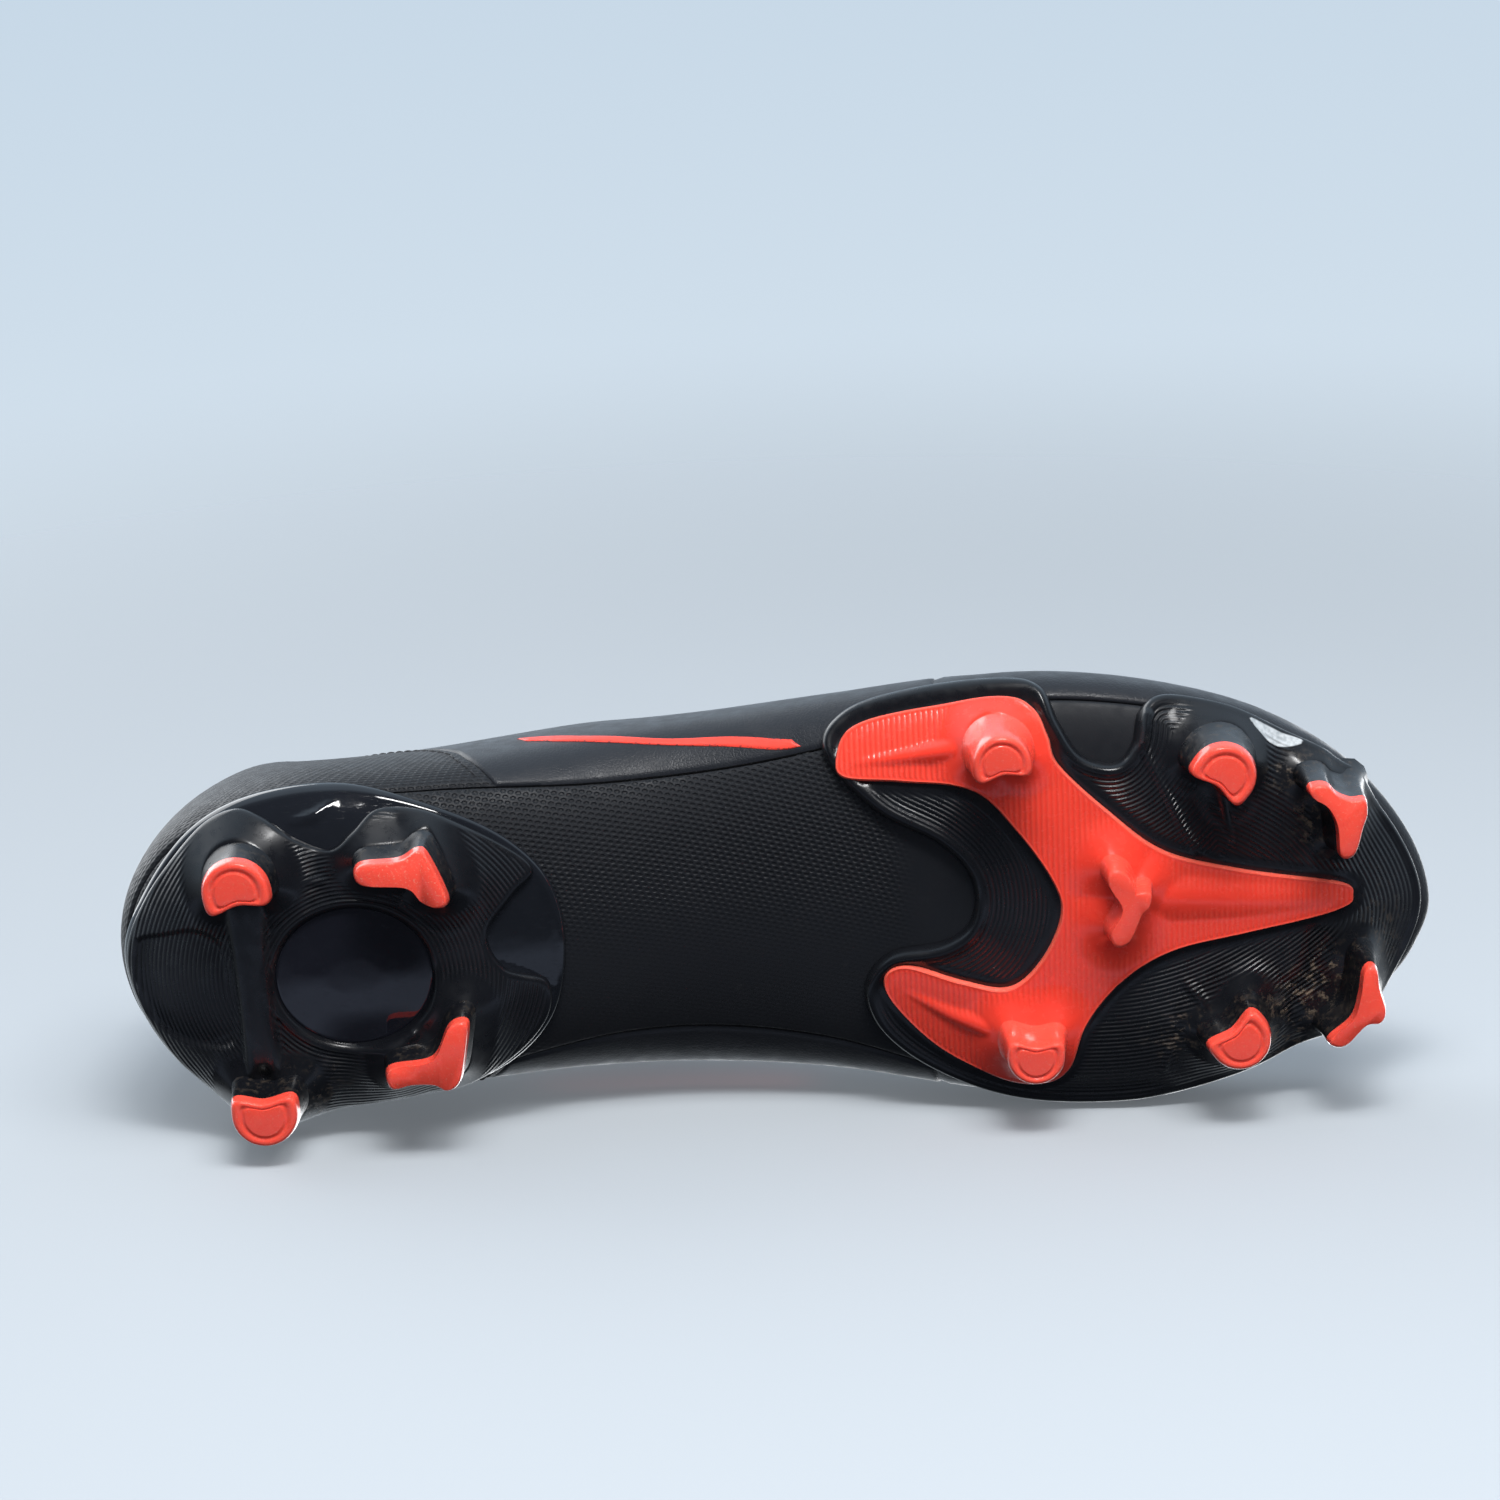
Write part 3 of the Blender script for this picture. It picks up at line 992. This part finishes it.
# ---------------------------------------------------------------- upper
def spaced(count):
    """Places from 0 to 1, closer together near both ends."""
    s = np.linspace(0, 1, count + 1)
    return 0.55 * s + 0.45 * s * s * (3 - 2 * s)


def arc(points, axis):
    """Distance run along an axis of a grid of points."""
    steps = np.linalg.norm(np.diff(points, axis=axis), axis=-1)
    zero = np.zeros_like(np.take(steps, [0], axis=axis))
    return np.concatenate([zero, np.cumsum(steps, axis=axis)], axis=axis)


def shell(name, outer, inner, closed, look, fields, holes=None):
    """A closed shell between two grids of points. holes marks the faces left out, which must be
    away from the grid's border."""
    columns, rows = outer.shape[:2]
    index = np.arange(columns * rows).reshape(columns, rows)
    ahead = np.roll(index, -1, axis=0)
    last_column = columns if closed else columns - 1
    a, b = index[:last_column, :-1], ahead[:last_column, :-1]
    c, d = ahead[:last_column, 1:], index[:last_column, 1:]
    quads = np.stack([a, b, c, d], axis=-1)
    if holes is not None:
        quads = quads[~holes[:last_column, : rows - 1]]
    quads = quads.reshape(-1, 4)
    n = columns * rows
    ends = np.concatenate([quads[:, [i, (i + 1) % 4]] for i in range(4)])
    _, where, count = np.unique(np.sort(ends, axis=1), axis=0, return_inverse=True,
                                return_counts=True)
    rim = ends[count[where.reshape(-1)] == 1]
    sides = np.stack([rim[:, 1], rim[:, 0], rim[:, 0] + n, rim[:, 1] + n], axis=1)
    faces = quads.tolist() + (quads[:, ::-1] + n).tolist() + sides.tolist()
    points = np.vstack([outer.reshape(-1, 3), inner.reshape(-1, 3)])
    doubled = {key: np.tile(values.reshape(-1), 2) for key, values in fields.items()}
    obj = make_mesh(name, points, faces, look, 55, doubled)
    bm = bmesh.new()
    bm.from_mesh(obj.data)
    bmesh.ops.remove_doubles(bm, verts=bm.verts, dist=2e-6)
    loose = [v for v in bm.verts if not v.link_faces]
    bmesh.ops.delete(bm, geom=loose, context="VERTS")
    bm.to_mesh(obj.data)
    bm.free()
    return obj


def grid_fields(points):
    """(fields, distance from the border) of a grid of points."""
    run, climb = arc(points, 0), arc(points, 1)
    middle = points.shape[1] // 2
    along_u = np.repeat(run[:, [middle]], points.shape[1], axis=1)
    edge = np.minimum(np.minimum(climb, climb[:, -1:] - climb), np.minimum(run, run[-1:] - run))
    return {"along": along_u, "across": climb}, edge


def panel(name, u_ends, t_ends, counts, inner, look, body, slot, node, thickness_drop=0.45,
          swell=None, more=None, eyelets=None):
    """A panel of the upper. u_ends(q) gives the u of its rear and front edge at height q, and
    t_ends(u) the lower and upper t. Its edges are rounded down."""
    k, q = np.meshgrid(spaced(counts[0]), spaced(counts[1]), indexing="ij")
    start, stop = u_ends(q)
    u = start + (stop - start) * k
    low, high = t_ends(u)
    t = low + (high - low) * q
    surface, normal = last(u, t), last_normal(u, t)
    fields, edge = grid_fields(surface)
    holes = None
    if eyelets:
        surface, holes = with_eyelets(surface, eyelets)
    fields["edge"] = edge
    lift = swell(surface, edge) if swell else 0.0
    outward = lift - thickness_drop * (1 - rounded_edge(edge, 1.3))
    fields["smooth"] = np.zeros_like(edge)
    for key, rule in (more or {}).items():
        fields[key] = rule(surface, edge)
    obj = shell(name, surface + normal * outward[..., None], surface + normal * inner, False, look,
                fields, holes)
    return piece(obj, body, slot, node)


def eyelet_place(x, side):
    """Centre and outward direction of an eyelet."""
    u = u_at(x, side)
    return last(u, EYELET_T), last_normal(u, EYELET_T)


def with_eyelets(surface, centres):
    """Opens round holes: points inside one move out to its edge, and the faces between go."""
    surface = surface.copy()
    caught = np.zeros(surface.shape[:2], int)
    for number, centre in enumerate(centres):
        gap = surface - centre
        distance = np.linalg.norm(gap, axis=-1)
        near = distance < EYELET_RADIUS * 1.12
        scale = EYELET_RADIUS / np.maximum(distance, 0.05)
        surface = np.where(near[..., None], centre + gap * scale[..., None], surface)
        caught = np.where(near, number + 1, caught)
    holes = (caught[:-1, :-1] > 0) & (caught[1:, :-1] > 0) & (caught[1:, 1:] > 0) \
        & (caught[:-1, 1:] > 0)
    return surface, holes


def sides_of(side, rear, front):
    """u_ends for a panel on one side, between slanted edges given as x at the bottom and top."""
    def ends(q):
        low = u_at(rear[0] + (rear[1] - rear[0]) * q, side)
        high = u_at(front[0] + (front[1] - front[0]) * q, side)
        return (low, high) if side == "lateral" else (high, low)
    return ends


def round_heel(end):
    def ends(q):
        x = end[0] + (end[1] - end[0]) * q
        return u_at(x, "medial") - CORNERS, u_at(x, "lateral")
    return ends


def from_seam(top=1.0):
    return lambda u: (seam_t(u) + 0.006, np.full_like(u, top))


def matched_ring(step=2.0):
    """u of columns all the way round, with the same places on both sides of the spine."""
    xs = np.arange(HEEL_CENTRE, TOE_CENTRE + step / 2, step)
    toe = np.linspace(u_at(TOE_CENTRE, "lateral"), u_at(TOE_CENTRE, "medial"), 56)
    heel = np.linspace(u_at(HEEL_CENTRE, "medial"), u_at(HEEL_CENTRE, "lateral") + CORNERS, 56)
    return np.concatenate([u_at(xs, "lateral"), toe[1:], u_at(xs, "medial")[::-1][1:], heel[1:-1]])


def make_wrap():
    u, q = np.meshgrid(matched_ring(), spaced(40), indexing="ij")
    t = -1 + (seam_t(u) + 0.994) * q
    surface, normal = last(u, t), last_normal(u, t)
    fields, _ = grid_fields(surface)
    edge = arc(surface, 1)[:, -1:] - arc(surface, 1)
    fields["along"] = surface[..., 0] + 0.35 * surface[..., 1]
    fields["across"] = surface[..., 1] - 0.2 * surface[..., 0]
    y, x = surface[..., 1], surface[..., 0]
    faded = np.clip(smooth_step(y, -26, 12), 0, 0.93) * smooth_step(x, -70, -48)
    fields["smooth"] = np.maximum(faded, smooth_step(x, 20, 32))
    fields["edge"] = edge
    outward = -0.45 * (1 - rounded_edge(edge, 1.2))
    outer = surface + normal * outward[..., None]
    obj = shell("underfoot_wrap_skin", outer, surface - normal * SKIN, True, WRAP, fields)
    piece(obj, "shoe", "wrap_textile", "underfoot_wrap")


def make_panels():
    panel("heel_quarter_skin", round_heel(HEEL_SEAM_X), from_seam(), (170, 44), -SKIN, WRAP,
          "shoe", "wrap_textile", "heel_quarter",
          more={"smooth": lambda surface, edge: np.full_like(edge, 0.25)})
    for side in ("lateral", "medial"):
        centres = [eyelet_place(x, side)[0] for x in EYELET_X]
        panel(f"{side}_quarter_skin", sides_of(side, HEEL_SEAM_X, VAMP_SEAM_X), from_seam(),
              (110, 60), -SKIN, SATIN, "shoe", "upper_synthetic", f"{side}_quarter",
              eyelets=centres)
        panel(f"{side}_eyestay_film", sides_of(side, (-46, -46), (42, 42)),
              lambda u: (np.full_like(u, 0.66), np.full_like(u, 0.975)), (90, 18), 0.05, STAY_FILM,
              "shoe", "eyestay_film", f"{side}_eyestay", thickness_drop=0.55,
              swell=lambda surface, edge: np.full_like(edge, EYESTAY_LIFT), eyelets=centres)
        make_eyelets(side)
        make_stitches(side)

    def toe_relief(surface, edge):
        x = surface[..., 0]
        reach = np.hypot(x - 62, (surface[..., 1] + 4) * 1.3)
        ribs = 0.22 * np.clip(np.cos(reach * math.tau / 7.5), 0, 1) ** 2
        return ribs * smooth_step(reach, 18, 30) * smooth_step(edge, 3, 9) \
            * smooth_step(surface[..., 2], 34, 42)

    q = spaced(56)
    start = VAMP_SEAM_X[0] + (VAMP_SEAM_X[1] - VAMP_SEAM_X[0]) * q
    share = np.linspace(0, 1, 44)[:, None] ** 0.9
    xs = start + (TOE_CENTRE - start) * share
    fan = np.linspace(u_at(TOE_CENTRE, "lateral"), u_at(TOE_CENTRE, "medial"), 66)[1:-1, None]
    u = np.vstack([u_at(xs, "lateral"), fan + 0 * q, u_at(xs, "medial")[::-1]])
    low = seam_t(u) + 0.006
    t = low + (1 - low) * q
    surface, normal = last(u, t), last_normal(u, np.minimum(t, 0.985))
    fields, _ = grid_fields(surface)
    run, climb = arc(surface, 0), arc(surface, 1)
    edge = np.minimum(climb, np.minimum(run, run[-1:] - run))
    fields["edge"], fields["smooth"] = edge, np.zeros_like(edge)
    outward = toe_relief(surface, edge) - 0.45 * (1 - rounded_edge(edge, 1.3))
    obj = shell("vamp_skin", surface + normal * outward[..., None], surface - normal * SKIN, False,
                VAMP_GRAIN, fields)
    piece(obj, "shoe", "upper_synthetic", "vamp")


def tube(points, radius, segments=8, closed=False):
    """(points, faces) of a tube along a line of points."""
    points = np.asarray(points, float)
    if closed:
        heading = np.roll(points, -1, 0) - np.roll(points, 1, 0)
    else:
        heading = np.gradient(points, axis=0)
    heading /= np.maximum(np.linalg.norm(heading, axis=1, keepdims=True), 1e-9)
    helper = np.where(np.abs(heading[:, [2]]) > 0.9, (1.0, 0, 0), (0, 0, 1.0))
    side = np.cross(heading, helper)
    side /= np.linalg.norm(side, axis=1, keepdims=True)
    up = np.cross(side, heading)
    turn = np.arange(segments) * math.tau / segments
    rings = points[:, None] + radius * (side[:, None] * np.cos(turn)[:, None]
                                        + up[:, None] * np.sin(turn)[:, None])
    n, faces = len(points), []
    for i in range(n if closed else n - 1):
        a, b = i * segments, ((i + 1) % n) * segments
        faces += [(a + j, a + (j + 1) % segments, b + (j + 1) % segments, b + j)
                  for j in range(segments)]
    if not closed:
        faces += [tuple(range(segments))[::-1], tuple((n - 1) * segments + j
                                                      for j in range(segments))]
    return rings.reshape(-1, 3), faces


def joined(name, parts, look):
    """One object of several tubes."""
    points, faces, start = [], [], 0
    for part_points, part_faces in parts:
        points.append(part_points)
        faces += [tuple(i + start for i in f) for f in part_faces]
        start += len(part_points)
    return make_mesh(name, np.vstack(points), faces, look, 50,
                     {key: np.zeros(start) for key in ("along", "across", "edge")})


def make_eyelets(side):
    rims = []
    for x in EYELET_X:
        centre, outward = eyelet_place(x, side)
        across = np.cross(outward, (1.0, 0, 0))
        across /= np.linalg.norm(across)
        forward = np.cross(across, outward)
        turn = np.arange(28) * math.tau / 28
        circle = (centre + outward * EYESTAY_LIFT + (EYELET_RADIUS + 0.25) * (
            np.cos(turn)[:, None] * forward + np.sin(turn)[:, None] * across))
        rims.append(tube(circle, 0.42, 8, True))
    piece(joined(f"{side}_eyelet_rims", rims, STAY_FILM), "shoe", "eyestay_film")


def stitch_line(u, t, lift, length=2.4, gap=0.9, radius=0.24):
    """Small thread stitches along a line of the last surface."""
    line, normal = last(u, t), last_normal(u, t)
    run = arc(line, 0)
    parts = []
    for start in np.arange(0.5, run[-1] - length, length + gap):
        where = np.linspace(start, start + length, 6)
        points = np.stack([np.interp(where, run, line[:, i]) for i in range(3)], axis=1)
        out = np.stack([np.interp(where, run, normal[:, i]) for i in range(3)], axis=1)
        hump = lift + 0.16 * np.sin(np.linspace(0, math.pi, 6)) - 0.08
        parts.append(tube(points + out * hump[:, None], radius, 6))
    return parts


def make_stitches(side):
    xs = np.linspace(-44, 40, 160)
    u = u_at(xs, side)
    parts = [stitch for t in EYESTAY_STITCH_T
             for stitch in stitch_line(u, np.full(160, t), EYESTAY_LIFT)]
    q = np.linspace(0.05, 0.97, 120)
    x = HEEL_SEAM_X[0] + (HEEL_SEAM_X[1] - HEEL_SEAM_X[0]) * q - 2.4
    u = u_at(x, side)
    t = seam_t(u) + (1 - seam_t(u)) * q
    parts += stitch_line(u, t, 0.02)
    piece(joined(f"{side}_stitching", parts, THREAD), "shoe", "upper_synthetic")


def make_stripes():
    """A straight-edged wedge on each side, the lateral one sloping down to the seam."""
    for side, (lower, upper) in STRIPE_EDGES.items():
        def limits(u, lower=lower, upper=upper):
            x = closed_curve(BELT, u)[..., 0]
            return along(lower, x), along(upper, x)
        panel(f"{side}_stripe_film", sides_of(side, *STRIPE_ENDS), limits, (70, 8), 0.0,
              RED_FILM, "shoe", "stripe_crimson", f"{side}_stripe", thickness_drop=0.25,
              swell=lambda surface, edge: np.full_like(edge, 0.35))


RED_FILM = stripe_film()


def eased(surface, normal, middle, level, ease):
    """The surface moved out to a level, and back to the middle of the pad where ease is 0."""
    return surface + normal * (middle + (level - middle) * ease)[..., None]


def make_collar():
    """Padded knit lining, rolled outward over the edge of the heel and quarters."""
    ends = round_heel((-60, -66))
    k, q = np.meshgrid(spaced(200), np.linspace(0, 1, 60), indexing="ij")
    start, stop = ends(q)
    u = start + (stop - start) * k
    t = 1.16 * q
    surface, normal = last(u, t), last_normal(u, t)
    fields, edge = grid_fields(surface)
    fields["edge"] = edge
    puff = 0.9 * np.sin(math.pi * np.clip((q - 0.45) / 0.5, 0, 1)) ** 2
    roll = 1.5 * smooth_step(q, 0.87, 0.96)
    far, near = -6.0 - puff * 0.6, -3.8 + roll
    ease = rounded_edge(edge, 1.6)
    middle = (far + near) / 2
    outer, inner = (eased(surface, normal, middle, level, ease) for level in (near, far))
    obj = shell("knit_collar_lining", outer, inner, False, COLLAR_KNIT, fields)
    piece(obj, "shoe", "knit", "knit_collar")


def top_z(x, y):
    """Height of the last surface's upper side over (x, y), bridging the throat."""
    centre = along(SPINE_Y, x)
    best = np.zeros(np.shape(x))
    for side in ("lateral", "medial"):
        mine = (y < centre) if side == "lateral" else (y >= centre)
        u = u_at(x, side)
        edge = last(u, 1.0)
        low, high = np.zeros(np.shape(x)), np.ones(np.shape(x))
        for _ in range(24):
            t = (low + high) / 2
            out = np.abs(last(u, t)[..., 1] - centre) > np.abs(y - centre)
            low, high = np.where(out, t, low), np.where(out, high, t)
        z = np.where(np.abs(y - centre) <= np.abs(edge[..., 1] - centre), edge[..., 2],
                     last(u, low)[..., 2])
        best = np.where(mine, z, best)
    return best


def make_tongue():
    p, q = np.meshgrid(np.linspace(0, 1, 120), spaced(48), indexing="ij")
    inside_p = np.minimum(p / 0.86, 1)
    past = np.maximum(p - 0.86, 0) / 0.14
    x = TONGUE_BASE_X + (THROAT_TOP - TONGUE_BASE_X) * inside_p
    centre, across = along(SPINE_Y, x), 2 * q - 1
    y = centre + across * along(TONGUE_HALF, x)
    z = top_z(x, y) + 0.9 * (1 - across * across) * inside_p
    y = np.where(past > 0, centre + (y - centre) * (1 - 0.2 * past * past), y)
    surface = np.stack([x + TONGUE_TOP_REACH[0] * past, y, z + TONGUE_TOP_REACH[1] * past], axis=-1)
    over, along_p = np.gradient(surface, axis=1), np.gradient(surface, axis=0)
    normal = np.cross(over, along_p)
    normal /= np.maximum(np.linalg.norm(normal, axis=-1, keepdims=True), 1e-9)
    if normal[..., 2].mean() < 0:
        normal = -normal
    fields, edge = grid_fields(surface)
    fields["edge"] = edge
    ease = rounded_edge(edge, 2.2)
    length = arc(surface, 0)
    channel = 0.7 * np.exp(-(((length - 24) % 13 - 6.5) / 1.1) ** 2) * smooth_step(edge, 5, 8) \
        * smooth_step(length, 24, 30)
    binding = 0.35 * np.exp(-((edge - 1.6) / 1.0) ** 2)
    high = -2.75 - channel + binding
    low, middle = -6.2, -4.5
    columns = [eased(surface, normal, middle, level, ease)[:, ::-1] for level in (high, low)]
    fields = {key: values[:, ::-1] for key, values in fields.items()}
    fields["along"], fields["across"] = fields["across"], fields["along"]
    obj = shell("tongue_pad", *columns, False, TONGUE_KNIT, fields)
    piece(obj, "tongue", "knit", "tongue")


def make_sockliner():
    u, q = np.meshgrid(matched_ring(2.5), np.linspace(0, 1, 26), indexing="ij")
    surface, normal = last(u, -1 + 0.38 * q), last_normal(u, -1 + 0.38 * q)
    fields, _ = grid_fields(surface)
    edge = arc(surface, 1)[:, -1:] - arc(surface, 1)
    fields["along"], fields["across"] = surface[..., 0], surface[..., 1]
    fields["edge"] = edge
    ease = rounded_edge(edge, 1.8)
    low, high = -4.5, -8.1
    middle = (low + high) / 2
    outer, inner = (eased(surface, normal, middle, level, ease) for level in (low, high))
    obj = shell("sockliner_pad", outer, inner, True, LINING, fields)
    piece(obj, "sockliner", "sockliner_foam", "sockliner")


def finish_solids():
    """Carried-over solids inside the shoe get their own look."""
    for node, look in (("strobel_board", BOARD_LOOK), ("heel_counter", STIFFENER),
                       ("toe_puff", STIFFENER)):
        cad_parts[node].data.materials.clear()
        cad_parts[node].data.materials.append(look)


# ---------------------------------------------------------------- stage, lights and camera
CAMERA_TILT, CAMERA_ROLL, CAMERA_PLACE = 15, 2.2, (-4.2, -270.6, -856.4)
SIDE_FLOOR_Y = 0.0492       # metres: just clear of the shoe's widest point
FLOOR_GLOW, FLOOR_TINT = (0.1, 0.11, 0.12), (0.325, 0.35, 0.375)


def stage_plane(name, centre, normal, size, look):
    mesh = bpy.data.meshes.new(name)
    a, b = size[0] / 2, size[1] / 2
    mesh.from_pydata([(-a, -b, 0), (a, -b, 0), (a, b, 0), (-a, b, 0)], [], [(0, 1, 2, 3)])
    mesh.materials.append(look)
    obj = bpy.data.objects.new(name, mesh)
    bpy.context.scene.collection.objects.link(obj)
    obj.rotation_euler = Vector(normal).to_track_quat("Z", "Y").to_euler()
    obj.location = centre
    return obj


def make_world():
    world = bpy.data.worlds.new("studio")
    world.use_nodes = True
    bpy.context.scene.world = world
    tree = world.node_tree
    direction = add_node(tree, "ShaderNodeTexCoord").outputs["Generated"]
    parts = add_node(tree, "ShaderNodeSeparateXYZ", {"Vector": direction})
    share = ramp(tree, parts.outputs[1], -0.1, 0.45)
    colour = mix_colour(tree, share, (0.52, 0.645, 0.77), (0.75, 0.83, 0.9))
    below = ramp(tree, parts.outputs[2], -0.35, 0.1)
    band = maths(tree, "MULTIPLY", ramp(tree, parts.outputs[1], 0.28, 0.36),
                 ramp(tree, parts.outputs[1], 0.45, 0.55, 1.0, 0.0))
    facing = mix_colour(tree, band, (0.03, 0.035, 0.045), (0.27, 0.32, 0.43))
    resting = maths(tree, "MULTIPLY", ramp(tree, parts.outputs[1], 0.05, 0.45),
                    ramp(tree, parts.outputs[2], 0.2, 0.5, 1.0, 0.0))
    lit = mix_colour(tree, below, facing, mix_colour(tree, resting, colour, (0.05, 0.058, 0.07)))
    seen = add_node(tree, "ShaderNodeLightPath").outputs["Is Camera Ray"]
    colour = mix_colour(tree, seen, lit, colour)
    tree.links.new(colour, tree.nodes["Background"].inputs["Color"])
    tree.nodes["Background"].inputs["Strength"].default_value = 1.0


def area_light(name, location, aim, size, watts, colour=(1, 1, 1)):
    data = bpy.data.lights.new(name, "AREA")
    data.shape = "RECTANGLE"
    data.size, data.size_y = size
    data.energy = watts
    data.color = colour
    obj = bpy.data.objects.new(name, data)
    bpy.context.scene.collection.objects.link(obj)
    obj.location = location
    obj.rotation_euler = (Vector(aim) - Vector(location)).to_track_quat("-Z", "Y").to_euler()
    return obj


def make_camera():
    tilt, roll = math.radians(CAMERA_TILT), math.radians(CAMERA_ROLL)
    forward = Vector((0, math.sin(tilt), math.cos(tilt)))
    side, rise = Vector((1, 0, 0)), Vector((0, -math.cos(tilt), math.sin(tilt)))
    right = side * math.cos(roll) - rise * math.sin(roll)
    up = side * math.sin(roll) + rise * math.cos(roll)
    data = bpy.data.cameras.new("camera")
    data.lens, data.sensor_width = 100.8, 36.0
    data.clip_start, data.clip_end = 0.01, 50
    obj = bpy.data.objects.new("camera", data)
    bpy.context.scene.collection.objects.link(obj)
    rotation = Matrix((right, up, -forward)).transposed().to_4x4()
    obj.matrix_world = Matrix.Translation(Vector(CAMERA_PLACE) * MM) @ rotation
    bpy.context.scene.camera = obj


def one_sided_floor(stretch):
    """Pale floor that shows from its front only and fades into the backdrop."""
    look = bpy.data.materials.new("studio_floor")
    look.use_nodes = True
    tree = look.node_tree
    shader = tree.nodes["Principled BSDF"]
    shader.inputs["Base Color"].default_value = (*FLOOR_TINT, 1)
    shader.inputs["Roughness"].default_value = 0.9
    shader.inputs["Specular IOR Level"].default_value = 0.0
    shader.inputs["Emission Color"].default_value = (*FLOOR_GLOW, 1)
    shader.inputs["Emission Strength"].default_value = 1.0
    behind = add_node(tree, "ShaderNodeNewGeometry").outputs["Backfacing"]
    local = add_node(tree, "ShaderNodeTexCoord").outputs["Object"]
    local = add_node(tree, "ShaderNodeMapping", {"Vector": local, "Scale": stretch})
    reach = add_node(tree, "ShaderNodeVectorMath", {0: local.outputs[0]}, operation="LENGTH")
    faded = ramp(tree, reach.outputs["Value"], 0.35, 1.0)
    hidden = maths(tree, "MAXIMUM", behind, faded)
    clear = add_node(tree, "ShaderNodeBsdfTransparent").outputs[0]
    mix = add_node(tree, "ShaderNodeMixShader", {0: hidden, 1: shader.outputs[0], 2: clear})
    tree.links.new(mix.outputs[0], tree.nodes["Material Output"].inputs["Surface"])
    return look


def make_stage():
    """The shoe stands on one floor, and its medial side rests on the other in the main view."""
    side = stage_plane("side_floor", (0, SIDE_FLOOR_Y, 0.1), (0, -1, 0), (2.4, 3.0),
                       one_sided_floor((1.25, 1.0, 1.0)))
    ground = stage_plane("ground_floor", (0, 0, -0.0002), (0, 0, 1), (3.0, 3.0),
                         one_sided_floor((1.0, 1.0, 1.0)))
    for floor in (side, ground):
        floor.visible_shadow = floor.visible_diffuse = floor.visible_glossy = False
        floor.visible_transmission = False
    key = area_light("key", (0.2, -1.15, -0.5), (0, 0, 0.02), (1.1, 0.6), 20)
    key.visible_glossy = False
    front = area_light("front", (0.1, -0.45, -1.1), (0, 0, 0.02), (0.9, 0.9), 4)
    front.visible_glossy = False
    area_light("glint", (0.1, -1.1, -0.55), (0, 0, 0.02), (0.36, 0.18), 6.5)
    area_light("fill", (-0.9, -0.5, 0.9), (0, 0, 0.05), (1.2, 1.2), 12)
    area_light("back", (0.5, 0.55, 1.15), (0, 0, 0.05), (1.2, 1.0), 10)


make_plates()
make_studs()
make_wrap()
make_panels()
make_stripes()
make_collar()
make_tongue()
make_sockliner()
finish_solids()
make_world()
make_camera()
make_stage()
bpy.context.scene.view_settings.view_transform = "Standard"
